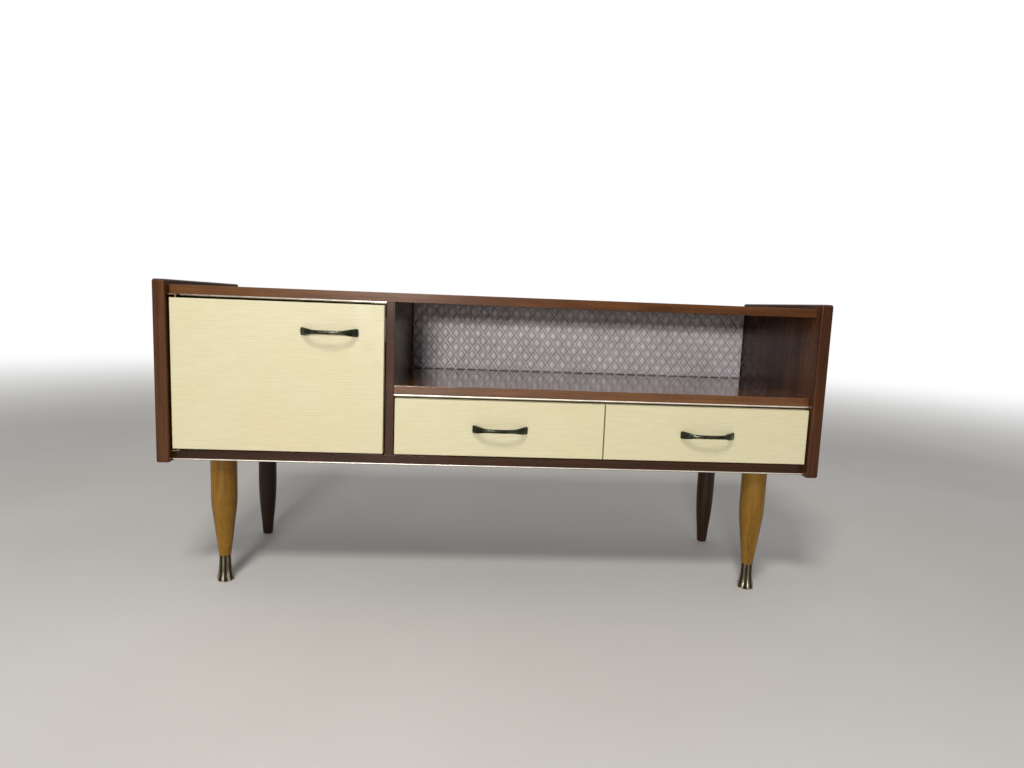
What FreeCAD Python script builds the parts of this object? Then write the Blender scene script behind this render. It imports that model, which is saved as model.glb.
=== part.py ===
import FreeCAD, Part
import Sketcher
import math
import os

# A low console television cabinet, in millimetres.
# X runs along the cabinet, -Y is its front, Z is up and the floor is at Z = 0.
# The origin lies on the floor, under the middle of the whole cabinet.

doc = FreeCAD.newDocument("ConsoleCabinet")
sheet = doc.addObject("Spreadsheet::Sheet", "Dims")

# Driving dimensions
SIZES = {
    # Case
    "overall_width": 1200,
    "end_thickness": 22,
    "end_height": 322,
    "end_lift": 238,
    "end_step": 18,
    "end_back_lip": 7,
    "end_corner": 5,
    "end_edge_round": 3.5,
    "board_thickness": 16,
    "board_depth": 330,
    "board_edge_round": 1.2,
    "bottom_raise": 5,
    "top_sink": 8.5,
    "door_bay_width": 374,
    "drawer_bay_height": 111.5,
    "back_thickness": 3.2,
    "back_fit": 0.5,
    # Dowels in the joints of the case
    "dowel_diameter": 8,
    "dowel_length": 28,
    "dowel_bite": 9.5,
    "dowel_fit": 0.1,
    "dowel_end_gap": 0.5,
    "dowel_bevel": 1,
    "dowel_setback": 60,
    # Padded back of the open compartment
    "quilt_base": 3,
    "quilt_crown": 5,
    "quilt_fit": 0.3,
    "diamond_width": 24.7,
    "diamond_height": 33,
    # Bright strips under the front edges
    "trim_height": 4,
    "trim_depth": 8,
    "trim_proud": 1,
    "bottom_trim_height": 3,
    # Door and drawer fronts
    "front_thickness": 16,
    "face_proud": 12,
    "front_edge_round": 1.5,
    "front_bottom_gap": 4,
    "door_top_gap": 2.5,
    "door_hinge_gap": 4,
    "door_latch_gap": 1.5,
    "drawer_top_gap": 2,
    "drawer_edge_gap": 2.8,
    "drawer_middle_gap": 2,
    # Door pivots
    "pivot_inset": 8,
    "pin_diameter": 5,
    "pin_fit": 0.05,
    "pin_reach": 7,
    "collar_diameter": 9,
    "pivot_gap": 0.3,
    "plate_thickness": 1.6,
    "plate_width": 18,
    "plate_length": 50,
    "leaf_length": 36,
    "leaf_width": 11,
    "leaf_fit": 0.1,
    # Door catch
    "catch_length": 44,
    "catch_depth": 14,
    "catch_width": 12,
    "catch_pole": 1.2,
    "catch_gap": 0.3,
    "catch_rise": 205,
    "strike_thickness": 1.2,
    "strike_length": 38,
    "strike_width": 11,
    # Drawer boxes
    "box_side_gap": 1.5,
    "drawer_wall": 12,
    "drawer_side_height": 85,
    "drawer_side_raise": 3,
    "drawer_back_gap": 26,
    "drawer_bottom_thickness": 4,
    "drawer_bottom_raise": 10,
    "bottom_groove_depth": 5,
    "groove_fit": 0.2,
    # Drawer runners
    "runner_height": 12,
    "runner_projection": 8,
    "runner_setback": 14,
    "runner_back_gap": 28,
    "runner_rise": 36,
    "runner_groove_depth": 7,
    "runner_fit": 0.3,
    # Bow handles
    "handle_length": 100,
    "handle_reach": 24,
    "handle_bar_height": 7,
    "handle_bar_thickness": 6,
    "handle_neck_span": 58,
    "handle_neck_reach": 15,
    "handle_neck_height": 8.6,
    "handle_neck_thickness": 5.4,
    "handle_tip_reach": 3.3,
    "handle_post": 7,
    "handle_screw_span": 80,
    "fan_spread": 10.4,
    "fan_rib_neck": 2.3,
    "fan_rib_tip": 2.3,
    "fan_ribs": 5,
    "door_handle_inset": 94.5,
    "door_handle_drop": 50,
    "screw_diameter": 4,
    "screw_fit": 0.1,
    "screw_head_diameter": 8,
    "screw_head_height": 2.4,
    "screw_bite": 4,
    # Legs
    "leg_plate_side": 64,
    "leg_plate_thickness": 2.5,
    "leg_plate_corner": 8,
    "leg_plate_boss": 14,
    "leg_plate_boss_height": 9,
    "leg_plate_screw_pitch": 50,
    "leg_screw_length": 13,
    "leg_screw_head": 7.6,
    "stud_diameter": 8,
    "stud_fit": 0.1,
    "stud_leg_depth": 28,
    "leg_inset": 95.5,
    "front_leg_setback": 40,
    "rear_leg_back_inset": 33,
    "front_leg_top": 46.4,
    "front_leg_shoulder": 46,
    "front_leg_shoulder_height": 152,
    "front_leg_foot": 21.6,
    "front_leg_shoulder_blend": 230,
    "ferrule_height": 50,
    "ferrule_top": 21.2,
    "ferrule_stem": 21.8,
    "ferrule_stem_height": 35,
    "ferrule_waist": 23.6,
    "ferrule_waist_height": 23,
    "ferrule_flare": 27.6,
    "ferrule_flare_height": 12,
    "ferrule_instep": 31,
    "ferrule_instep_height": 6,
    "ferrule_foot": 32,
    "ferrule_foot_height": 2.8,
    "ferrule_sole": 29,
    "ferrule_sole_height": 0,
    "ferrule_petals": 8,
    "ferrule_petal_depth": 0.9,
    "ferrule_tenon": 15,
    "ferrule_floor": 5,
    "ferrule_fit": 0.15,
    "rear_leg_top": 39,
    "rear_leg_shoulder": 38,
    "rear_leg_shoulder_height": 150,
    "rear_leg_swell": 870,
    "rear_leg_ankle": 26,
    "rear_leg_ankle_height": 32,
    "rear_leg_foot": 21,
    "rear_leg_foot_round": 4,
}

for row, (name, number) in enumerate(SIZES.items(), start=1):
    sheet.set(f"A{row}", name)
    sheet.set(f"B{row}", str(number))
    sheet.setAlias(f"B{row}", name)
doc.recompute()


class Size:
    """A length that holds its value and the sheet expression that gives it."""

    def __init__(self, value, text):
        self.value = value
        self.text = text

    def __add__(self, other):
        other = as_size(other)
        return Size(self.value + other.value, f"({self.text} + {other.text})")

    def __radd__(self, other):
        return as_size(other) + self

    def __sub__(self, other):
        other = as_size(other)
        return Size(self.value - other.value, f"({self.text} - {other.text})")

    def __rsub__(self, other):
        return as_size(other) - self

    def __mul__(self, other):
        other = as_size(other)
        return Size(self.value * other.value, f"({self.text} * {other.text})")

    def __rmul__(self, other):
        return as_size(other) * self

    def __truediv__(self, other):
        other = as_size(other)
        return Size(self.value / other.value, f"({self.text} / {other.text})")

    def __neg__(self):
        return Size(-self.value, f"(0 - {self.text})")


def as_size(value):
    """Give a plain number the same form as a sheet size."""
    return value if isinstance(value, Size) else Size(float(value), str(float(value)))


def dim(name):
    """One driving dimension from the sheet."""
    return Size(float(sheet.get(name)), f"Dims.{name}")


ZERO = as_size(0)
pieces = []


def bind(obj, prop, size):
    """Drive one property of an object from the sheet."""
    obj.setExpression(prop, as_size(size).text)


def place(obj, x, y, z):
    """Drive the position of an object from the sheet."""
    bind(obj, "Placement.Base.x", x)
    bind(obj, "Placement.Base.y", y)
    bind(obj, "Placement.Base.z", z)


def keep(obj, label):
    """Name a finished piece and list it for export."""
    obj.Label = label
    pieces.append(obj)
    return obj


# Sketch helpers

def new_sketch(body, role, offset=ZERO):
    """A sketch on one of the body's own origin planes, moved along its normal."""
    sketch = body.newObject("Sketcher::SketchObject", "Sketch")
    plane = next(item for item in body.Origin.OriginFeatures if item.Role == role)
    sketch.AttachmentSupport = (plane, [""])
    sketch.MapMode = "FlatFace"
    bind(sketch, "AttachmentOffset.Base.z", offset)
    return sketch


def fix_point(sketch, geometry, vertex, across, up):
    """Hold one point of a sketch at sheet-driven distances from its origin."""
    if across.value == 0:
        sketch.addConstraint(Sketcher.Constraint("PointOnObject", geometry, vertex, -2))
    else:
        held = Sketcher.Constraint("DistanceX", -1, 1, geometry, vertex, across.value)
        number = sketch.addConstraint(held)
        bind(sketch, f"Constraints[{number}]", across)
    if up.value == 0:
        sketch.addConstraint(Sketcher.Constraint("PointOnObject", geometry, vertex, -1))
    else:
        held = Sketcher.Constraint("DistanceY", -1, 1, geometry, vertex, up.value)
        number = sketch.addConstraint(held)
        bind(sketch, f"Constraints[{number}]", up)


def polygon(sketch, corners, swells=None):
    """A closed outline through the given corners, drawn anticlockwise.

    Its edges are straight, but for those that swells gives an outward radius.
    """
    swells = swells or {}
    corners = [(as_size(across), as_size(up)) for across, up in corners]
    points = [FreeCAD.Vector(across.value, up.value, 0) for across, up in corners]
    count = len(points)
    first = sketch.GeometryCount
    for i in range(count):
        start = points[i]
        finish = points[(i + 1) % count]
        if i in swells:
            chord = finish - start
            radius = swells[i].value
            rise = radius - math.sqrt(radius ** 2 - chord.Length ** 2 / 4)
            outward = FreeCAD.Vector(chord.y, -chord.x, 0).normalize()
            sketch.addGeometry(Part.Arc(start, (start + finish) / 2 + outward * rise, finish))
        else:
            sketch.addGeometry(Part.LineSegment(start, finish))
    for i in range(count):
        after = first + (i + 1) % count
        sketch.addConstraint(Sketcher.Constraint("Coincident", first + i, 2, after, 1))
    for i, (across, up) in enumerate(corners):
        fix_point(sketch, first + i, 1, across, up)
    for i, radius in swells.items():
        held = sketch.addConstraint(Sketcher.Constraint("Radius", first + i, radius.value))
        bind(sketch, f"Constraints[{held}]", radius)


def rectangle(sketch, left, low, right, high):
    """A rectangle between two opposite corners."""
    polygon(sketch, [(left, low), (right, low), (right, high), (left, high)])


def circle(sketch, across, up, diameter):
    """A circle of the given diameter."""
    across = as_size(across)
    up = as_size(up)
    centre = FreeCAD.Vector(across.value, up.value, 0)
    normal = FreeCAD.Vector(0, 0, 1)
    number = sketch.addGeometry(Part.Circle(centre, normal, diameter.value / 2))
    held = sketch.addConstraint(Sketcher.Constraint("Diameter", number, diameter.value))
    bind(sketch, f"Constraints[{held}]", diameter)
    fix_point(sketch, number, 3, across, up)


# Feature helpers

def new_body(label, x, y, z):
    """An empty body at a sheet-driven position."""
    body = doc.addObject("PartDesign::Body", label)
    place(body, x, y, z)
    return keep(body, label)


def pad(body, sketch, length, backwards=False):
    """Add the sketch's outline over a length."""
    feature = body.newObject("PartDesign::Pad", "Pad")
    feature.Profile = sketch
    bind(feature, "Length", length)
    feature.Reversed = backwards
    doc.recompute()
    return feature


def pocket(body, sketch, length, backwards=False):
    """Cut the sketch's outline over a length, and make sure that it cut."""
    before = body.Shape.Volume
    feature = body.newObject("PartDesign::Pocket", "Pocket")
    feature.Profile = sketch
    bind(feature, "Length", length)
    feature.Reversed = backwards
    doc.recompute()
    if body.Shape.Volume >= before:
        raise RuntimeError(f"A pocket of {body.Label} removes nothing")
    return feature


def revolve(body, sketch):
    """Turn the sketch's outline once round the body's upright axis."""
    feature = body.newObject("PartDesign::Revolution", "Revolution")
    feature.Profile = sketch
    feature.ReferenceAxis = (sketch, ["V_Axis"])
    feature.Angle = 360
    doc.recompute()
    return feature


def round_edges(body, base, radius, chosen):
    """Round the edges of a feature that pass a test."""
    names = []
    for number, edge in enumerate(base.Shape.Edges, start=1):
        if chosen(edge):
            names.append(f"Edge{number}")
    feature = body.newObject("PartDesign::Fillet", "Fillet")
    feature.Base = (base, names)
    bind(feature, "Radius", radius)
    doc.recompute()
    return feature


def near(one, other):
    """Whether two lengths agree."""
    return abs(one - other) < 0.01


def box_piece(label, x, y, z, width, depth, height):
    """A plain board."""
    body = new_body(label, x, y, z)
    sketch = new_sketch(body, "XY_Plane")
    rectangle(sketch, ZERO, ZERO, width, depth)
    pad(body, sketch, height)
    return body


def drill(body, role, offset, holes, diameter, depth, backwards=False):
    """Round holes of one diameter and depth from a plane of the body."""
    sketch = new_sketch(body, role, offset)
    for across, up in holes:
        circle(sketch, across, up, diameter)
    return pocket(body, sketch, depth, backwards)


# Levels and lines that the pieces share

overall_width = dim("overall_width")
end_thickness = dim("end_thickness")
end_height = dim("end_height")
end_lift = dim("end_lift")
end_step = dim("end_step")
board = dim("board_thickness")
board_depth = dim("board_depth")
end_depth = end_step + board_depth + dim("end_back_lip")
face_proud = dim("face_proud")
front_thickness = dim("front_thickness")
handle_reach = dim("handle_reach")

front_plane = (face_proud + handle_reach - (end_depth - end_step)) / 2
face_plane = front_plane - face_proud
inner_face = face_plane + front_thickness
back_plane = front_plane + board_depth

inside_left = end_thickness - overall_width / 2
inside_right = overall_width / 2 - end_thickness
divider_left = inside_left + dim("door_bay_width")
divider_right = divider_left + board
drawer_bay = (inside_right - divider_right - board) / 2
partition_left = divider_right + drawer_bay
partition_right = partition_left + board

bottom_low = end_lift + dim("bottom_raise")
bottom_high = bottom_low + board
shelf_low = bottom_high + dim("drawer_bay_height")
shelf_high = shelf_low + board
top_high = end_lift + end_height - dim("top_sink")
top_low = top_high - board
fronts_low = bottom_high + dim("front_bottom_gap")

# End panels

def end_panel(label, left):
    """One thick end, with its four corners and then all its edges rounded."""
    body = new_body(label, left, front_plane - end_step, end_lift)
    sketch = new_sketch(body, "YZ_Plane")
    rectangle(sketch, ZERO, ZERO, end_depth, end_height)
    slab = pad(body, sketch, end_thickness)

    def through_edge(edge):
        start, end = [vertex.Point for vertex in edge.Vertexes]
        return near(start.y, end.y) and near(start.z, end.z)

    cornered = round_edges(body, slab, dim("end_corner"), through_edge)

    def side_edge(edge):
        start, end = [vertex.Point for vertex in edge.Vertexes]
        return near(start.x, end.x)

    round_edges(body, cornered, dim("end_edge_round"), side_edge)
    return body


left_end = end_panel("left_end_panel", -overall_width / 2)
right_end = end_panel("right_end_panel", inside_right)

# Leg positions, front pair and rear pair

leg_x = overall_width / 2 - dim("leg_inset")
front_leg_y = front_plane + dim("front_leg_setback")
rear_leg_y = back_plane - dim("rear_leg_back_inset")
leg_spots = [
    ("front_left", -leg_x, front_leg_y),
    ("front_right", leg_x, front_leg_y),
    ("rear_left", -leg_x, rear_leg_y),
    ("rear_right", leg_x, rear_leg_y),
]
leg_plate = dim("leg_plate_thickness")
leg_top = bottom_low - leg_plate
screw_half_pitch = dim("leg_plate_screw_pitch") / 2
plate_screws = [(across * screw_half_pitch, along * screw_half_pitch)
                for across in (-1, 1) for along in (-1, 1)]
leg_screw_reach = dim("leg_screw_length") - leg_plate
screw_hole = dim("screw_diameter") + 2 * dim("screw_fit")
boss_hole = dim("leg_plate_boss") + 2 * dim("stud_fit")

# Case boards, their front arrises eased where they show


def ease_front(body, *shown):
    """Round the front edges that lie on the shown heights or sides of a board."""
    def shown_edge(edge):
        start, end = [vertex.Point for vertex in edge.Vertexes]
        at_front = near(start.y, 0) and near(end.y, 0)
        level = near(start.z, end.z)
        place_on_board = start.z if level else start.x
        return at_front and any(level == is_level and near(place_on_board, where.value)
                                for is_level, where in shown)

    round_edges(body, body.Tip, dim("board_edge_round"), shown_edge)


inside_width = inside_right - inside_left
top = box_piece("top_board", inside_left, front_plane, top_low,
                inside_width, board_depth, board)
ease_front(top, (True, board))

bottom = box_piece("bottom_board", inside_left, front_plane, bottom_low,
                   inside_width, board_depth, board)
ease_front(bottom, (True, board))
leg_centres = [(x - inside_left, y - front_plane) for _, x, y in leg_spots]
drill(bottom, "XY_Plane", ZERO, leg_centres, boss_hole,
      dim("leg_plate_boss_height") + dim("stud_fit"), True)
leg_screw_centres = [(x + across, y + along)
                     for x, y in leg_centres for across, along in plate_screws]
drill(bottom, "XY_Plane", ZERO, leg_screw_centres, screw_hole,
      leg_screw_reach + dim("screw_fit"), True)

divider = box_piece("centre_divider", divider_left, front_plane, bottom_high,
                    board, board_depth, top_low - bottom_high)
ease_front(divider, (False, ZERO), (False, board))
shelf = box_piece("shelf_board", divider_right, front_plane, shelf_low,
                  inside_right - divider_right, board_depth, board)
ease_front(shelf, (True, board))
partition_front = front_plane - dim("trim_proud") + dim("trim_depth")
partition = box_piece("drawer_partition", partition_left, partition_front, bottom_high,
                      board, back_plane - partition_front, shelf_low - bottom_high)
back_fit = dim("back_fit")
box_piece("back_board", inside_left + back_fit, back_plane, bottom_low,
          inside_width - 2 * back_fit, dim("back_thickness"), top_high - bottom_low)

# Dowels in the joints of the case

dowel_length = dim("dowel_length")
dowel_bite = dim("dowel_bite")
dowel_end_gap = dim("dowel_end_gap")
dowel_hole = dim("dowel_diameter") + 2 * dim("dowel_fit")
dowel_rows = [front_plane + dim("dowel_setback"), front_plane + board_depth / 2,
              back_plane - dim("dowel_setback")]
board_bite = dowel_length - dowel_bite
end_front = front_plane - end_step
half_board = board / 2
dowels = []


def side_sockets(piece, front, offset, line, depth, from_right):
    """A row of dowel holes in the left or right side of a piece."""
    holes = [(y - front, line) for y in dowel_rows]
    drill(piece, "YZ_Plane", offset, holes, dowel_hole, depth + dowel_end_gap, not from_right)


def level_sockets(piece, front, offset, line, depth, from_above):
    """A row of dowel holes in the underside or the top of a piece."""
    holes = [(line, y - front) for y in dowel_rows]
    drill(piece, "XY_Plane", offset, holes, dowel_hole, depth + dowel_end_gap, not from_above)


def dowel_row(x, z, turn):
    """A row of bevelled dowels, each from a point of the front view on."""
    for y in dowel_rows:
        pin = doc.addObject("Part::Cylinder", "DowelPin")
        bind(pin, "Radius", dim("dowel_diameter") / 2)
        bind(pin, "Height", dowel_length)
        dowel = doc.addObject("Part::Chamfer", "Dowel")
        dowel.Base = pin
        doc.recompute()
        bevel = dim("dowel_bevel").value
        rims = [number for number, edge in enumerate(pin.Shape.Edges, start=1)
                if len(edge.Vertexes) == 1]
        dowel.Edges = [(number, bevel, bevel) for number in rims]
        place(dowel, x, y, z)
        dowel.Placement.Rotation = FreeCAD.Rotation(FreeCAD.Vector(0, 1, 0), turn)
        dowels.append(dowel)


for level_board, board_low in ((top, top_low), (bottom, bottom_low)):
    middle_z = board_low + half_board
    side_sockets(left_end, end_front, end_thickness, middle_z - end_lift, dowel_bite, True)
    side_sockets(right_end, end_front, ZERO, middle_z - end_lift, dowel_bite, False)
    side_sockets(level_board, front_plane, ZERO, half_board, board_bite, False)
    side_sockets(level_board, front_plane, inside_width, half_board, board_bite, True)
    dowel_row(inside_left - dowel_bite, middle_z, 90)
    dowel_row(inside_right - board_bite, middle_z, 90)

shelf_middle = shelf_low + half_board
side_sockets(divider, front_plane, board, shelf_middle - bottom_high, dowel_bite, True)
side_sockets(right_end, end_front, ZERO, shelf_middle - end_lift, dowel_bite, False)
side_sockets(shelf, front_plane, ZERO, half_board, board_bite, False)
side_sockets(shelf, front_plane, inside_right - divider_right, half_board, board_bite, True)
dowel_row(divider_right - dowel_bite, shelf_middle, 90)
dowel_row(inside_right - board_bite, shelf_middle, 90)

for upright, front, left, roof, roof_left, roof_low in (
        (divider, front_plane, divider_left, top, inside_left, top_low),
        (partition, partition_front, partition_left, shelf, divider_right, shelf_low)):
    middle_x = left + half_board
    level_sockets(upright, front, ZERO, half_board, board_bite, False)
    level_sockets(upright, front, roof_low - bottom_high, half_board, board_bite, True)
    level_sockets(bottom, front_plane, board, middle_x - inside_left, dowel_bite, True)
    level_sockets(roof, front_plane, ZERO, middle_x - roof_left, dowel_bite, False)
    dowel_row(middle_x, bottom_high - dowel_bite, 0)
    dowel_row(middle_x, roof_low - board_bite, 0)

carcass_dowels = doc.addObject("Part::Compound", "carcass_dowels")
carcass_dowels.Links = dowels
keep(carcass_dowels, "carcass_dowels")


# Bright trim strips

trim_height = dim("trim_height")
trim_depth = dim("trim_depth")
trim_front = front_plane - dim("trim_proud")


def trim_strip(label, left, right, high, height):
    """A strip under the front edge of a board, with its front edges eased."""
    body = box_piece(label, left, trim_front, high - height, right - left, trim_depth, height)

    def front_edge(edge):
        ends = [vertex.Point for vertex in edge.Vertexes]
        return all(near(point.y, 0) for point in ends) and near(ends[0].z, ends[1].z)

    round_edges(body, body.Tip, height / 4, front_edge)
    return body


top_trim = trim_strip("trim_strip_top", inside_left, divider_left, top_low, trim_height)
trim_strip("trim_strip_shelf", divider_right, inside_right, shelf_low, trim_height)
trim_strip("trim_strip_bottom", inside_left, inside_right, bottom_low,
           dim("bottom_trim_height"))

# Padded back of the open compartment: sewn diamonds that rise to a crown

quilt_fit = dim("quilt_fit").value
quilt_left = divider_right.value + quilt_fit
quilt_right = inside_right.value - quilt_fit
quilt_low = shelf_high.value + quilt_fit
quilt_high = top_low.value - quilt_fit
quilt_back = dim("quilt_base").value
quilt_crown = dim("quilt_crown").value
half_columns = 2 * round((quilt_right - quilt_left) / dim("diamond_width").value)
half_rows = round(2 * (quilt_high - quilt_low) / dim("diamond_height").value)
half_width = (quilt_right - quilt_left) / half_columns
half_height = (quilt_high - quilt_low) / half_rows


def seam(column, row):
    """A crossing of the seams, drawn down to the panel's base."""
    return FreeCAD.Vector(column * half_width, -quilt_back, row * half_height)


def quilt_cell(column, row):
    """The facets of one diamond, or of the part of it inside the border."""
    ring = [(column + 1, row), (column, row + 1), (column - 1, row), (column, row - 1)]
    inside = [(c, r) for c, r in ring if 0 <= c <= half_columns and 0 <= r <= half_rows]
    if len(inside) < len(ring):
        on_side = column in (0, half_columns)
        on_end = row in (0, half_rows)
        if on_side and on_end:
            inside = inside + [(column, row)]
        elif on_side:
            inside.sort(key=lambda cell: cell[1])
        else:
            inside.sort(key=lambda cell: cell[0])
    corners = [seam(c, r) for c, r in inside]
    middle = sum(corners, FreeCAD.Vector()) / len(corners)
    rise = quilt_crown * len(inside) / len(ring)
    crown = FreeCAD.Vector(middle.x, middle.y - rise, middle.z)
    facets = []
    for i, corner in enumerate(corners):
        following = corners[(i + 1) % len(corners)]
        facets.append(Part.Face(Part.makePolygon([corner, following, crown, corner])))
    return facets


def border_face(seams, corners):
    """One narrow side of the padded panel, from its seams back to its base."""
    return Part.Face(Part.makePolygon(seams + corners + seams[:1]))


def quilted_panel():
    """The padded panel as one closed solid."""
    faces = []
    for column in range(half_columns + 1):
        for row in range(half_rows + 1):
            if (column + row) % 2:
                faces.extend(quilt_cell(column, row))

    def at_back(point):
        return FreeCAD.Vector(point.x, 0, point.z)

    def border(cells):
        inner = [cell for cell in cells[1:-1] if (cell[0] + cell[1]) % 2 == 0]
        line = [seam(*cell) for cell in [cells[0]] + inner + [cells[-1]]]
        return border_face(line, [at_back(line[-1]), at_back(line[0])])

    faces.append(border([(c, 0) for c in range(half_columns + 1)]))
    faces.append(border([(c, half_rows) for c in range(half_columns + 1)]))
    faces.append(border([(0, r) for r in range(half_rows + 1)]))
    faces.append(border([(half_columns, r) for r in range(half_rows + 1)]))
    back = [at_back(seam(c, r)) for c, r in
            ((0, 0), (half_columns, 0), (half_columns, half_rows), (0, half_rows))]
    faces.append(Part.Face(Part.makePolygon(back + back[:1])))
    shell = Part.makeShell(faces)
    shell.sewShape()
    solid = Part.makeSolid(shell)
    if solid.Volume < 0:
        solid.reverse()
    return solid


quilt = doc.addObject("Part::Feature", "quilted_back_panel")
quilt.Shape = quilted_panel()
place(quilt, divider_right + dim("quilt_fit"), back_plane, shelf_high + dim("quilt_fit"))
keep(quilt, "quilted_back_panel")

# Bow handles, lying along X with the seat plane at Y = 0

handle_bar_height = dim("handle_bar_height")
handle_bar_thickness = dim("handle_bar_thickness")
neck_half = dim("handle_neck_span") / 2
neck_reach = dim("handle_neck_reach")
handle_screw_half = dim("handle_screw_span") / 2
fan_rib_tip = dim("fan_rib_tip")
tip_half = dim("handle_length") / 2 - fan_rib_tip
tip_reach = dim("handle_tip_reach")
screw_diameter = dim("screw_diameter")
screw_fit = dim("screw_fit")
screw_bite = dim("screw_bite")
fan_slope = (neck_reach - tip_reach) / (tip_half - neck_half)
post_height = tip_reach + (tip_half - handle_screw_half) * fan_slope


def bow_sections():
    """Half span, reach, height and thickness of the ovals along the bow."""
    middle_reach = handle_reach - handle_bar_thickness / 2
    neck = (neck_half, neck_reach, dim("handle_neck_height"), dim("handle_neck_thickness"))
    shoulder = (neck_half * 0.6, neck_reach + (middle_reach - neck_reach) * 0.72,
                handle_bar_height, handle_bar_thickness)
    middle = (ZERO, middle_reach, handle_bar_height, handle_bar_thickness)
    left = [(-span, reach, high, thick) for span, reach, high, thick in (neck, shoulder)]
    return left + [middle, shoulder, neck]


def upright_cylinder(name, x, radius, height):
    """A cylinder that stands out from the seat plane."""
    body = doc.addObject("Part::Cylinder", name)
    bind(body, "Radius", radius)
    bind(body, "Height", height)
    place(body, x, ZERO, ZERO)
    body.Placement.Rotation = FreeCAD.Rotation(FreeCAD.Vector(1, 0, 0), 90)
    return body


def fan_rib(side, share):
    """One rounded rib of the fan, from the neck of the bow to its tip."""
    drop = dim("fan_spread") * share
    run = FreeCAD.Vector(side * (tip_half - neck_half).value,
                         (neck_reach - tip_reach).value, drop.value)
    rib = doc.addObject("Part::Cone", "HandleRib")
    bind(rib, "Radius1", dim("fan_rib_neck"))
    bind(rib, "Radius2", fan_rib_tip)
    rib.Height = run.Length
    place(rib, side * neck_half, -neck_reach, ZERO)
    rib.Placement.Rotation = FreeCAD.Rotation(FreeCAD.Vector(0, 0, 1), run)
    tip = doc.addObject("Part::Sphere", "HandleRibTip")
    bind(tip, "Radius", fan_rib_tip)
    place(tip, side * tip_half, -tip_reach, drop)
    return [rib, tip]


def handle(label, x, z):
    """A bowed bar on two screw posts, each end spread into a ribbed fan."""
    sections = []
    for span, reach, high, thick in bow_sections():
        oval = doc.addObject("Part::Ellipse", "HandleSection")
        bind(oval, "MajorRadius", high / 2)
        bind(oval, "MinorRadius", thick / 2)
        turn = FreeCAD.Rotation(FreeCAD.Vector(0, 1, 0), -90)
        oval.Placement = FreeCAD.Placement(FreeCAD.Vector(), turn)
        place(oval, span, -reach, ZERO)
        sections.append(oval)
    bow = doc.addObject("Part::Loft", "HandleBow")
    bow.Sections = sections
    bow.Solid = True
    parts = [bow]
    ribs = int(dim("fan_ribs").value)
    for side in (-1, 1):
        post_x = side * handle_screw_half
        parts.append(upright_cylinder("HandlePost", post_x, dim("handle_post") / 2, post_height))
        for number in range(ribs):
            parts.extend(fan_rib(side, number / (ribs - 1) - 0.5))
    whole = doc.addObject("Part::MultiFuse", "HandleWhole")
    whole.Shapes = parts
    holes = doc.addObject("Part::MultiFuse", "HandleHoles")
    holes.Shapes = [upright_cylinder("HandleHole", side * handle_screw_half,
                                     screw_diameter / 2 + screw_fit, screw_bite + screw_fit)
                    for side in (-1, 1)]
    piece = doc.addObject("Part::Cut", label)
    piece.Base = whole
    piece.Tool = holes
    place(piece, x, face_plane, z)
    return keep(piece, label)


def handle_screws(label, x, z):
    """The two screws that hold a handle from behind the front."""
    screws = []
    for side in (-1, 1):
        shank = doc.addObject("Part::Cylinder", "ScrewShank")
        bind(shank, "Radius", screw_diameter / 2)
        bind(shank, "Height", front_thickness + screw_bite)
        place(shank, side * handle_screw_half, ZERO, ZERO)
        head = doc.addObject("Part::Cylinder", "ScrewHead")
        bind(head, "Radius", dim("screw_head_diameter") / 2)
        bind(head, "Height", dim("screw_head_height"))
        place(head, side * handle_screw_half, dim("screw_head_height"), ZERO)
        for solid in (shank, head):
            solid.Placement.Rotation = FreeCAD.Rotation(FreeCAD.Vector(1, 0, 0), 90)
        screws.extend([shank, head])
    pair = doc.addObject("Part::MultiFuse", label)
    pair.Shapes = screws
    place(pair, x, inner_face, z)
    return keep(pair, label)


def front_panel(label, left, right, low, high, handle_x, handle_z):
    """A door or drawer front with eased front edges and holes for its handle."""
    body = box_piece(label, left, face_plane, low, right - left, front_thickness, high - low)

    def front_edge(edge):
        return all(near(vertex.Point.y, 0) for vertex in edge.Vertexes)

    round_edges(body, body.Tip, dim("front_edge_round"), front_edge)
    centres = [(handle_x - left + side * handle_screw_half, handle_z - low)
               for side in (-1, 1)]
    drill(body, "XZ_Plane", ZERO, centres, screw_hole, front_thickness)
    return body


# Door, hung on two pivots at its left edge

door_left = inside_left + dim("door_hinge_gap")
door_right = divider_left - dim("door_latch_gap")
door_low = fronts_low
door_high = top_low - trim_height - dim("door_top_gap")
door_handle_x = door_right - dim("door_handle_inset")
door_handle_z = door_high - dim("door_handle_drop")
door = front_panel("door_panel", door_left, door_right, door_low, door_high,
                   door_handle_x, door_handle_z)

pivot_x = door_left + dim("pivot_inset")
pivot_y = face_plane + front_thickness / 2
pin_radius = dim("pin_diameter") / 2
pin_hole = dim("pin_diameter") + 2 * dim("pin_fit")
plate_thickness = dim("plate_thickness")
pin_reach = dim("pin_reach")
leaf_fit = dim("leaf_fit")
leaf_width = dim("leaf_width")
leaf_length = dim("leaf_length")
leaf_left = pivot_x - leaf_width / 2
leaf_low_y = pivot_y - leaf_width / 2

leaf_depth = plate_thickness + leaf_fit
bore_depth = pin_reach + plate_thickness
local_pivot = [(pivot_x - door_left, pivot_y - face_plane)]
door_height = door_high - door_low
for level, upwards in ((ZERO, True), (door_height, False)):
    recess = new_sketch(door, "XY_Plane", level)
    rectangle(recess, leaf_left - leaf_fit - door_left, leaf_low_y - leaf_fit - face_plane,
              leaf_left + leaf_length + leaf_fit - door_left,
              leaf_low_y + leaf_width + leaf_fit - face_plane)
    pocket(door, recess, leaf_depth, upwards)
    drill(door, "XY_Plane", level, local_pivot, pin_hole + 2 * leaf_fit, bore_depth, upwards)


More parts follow.
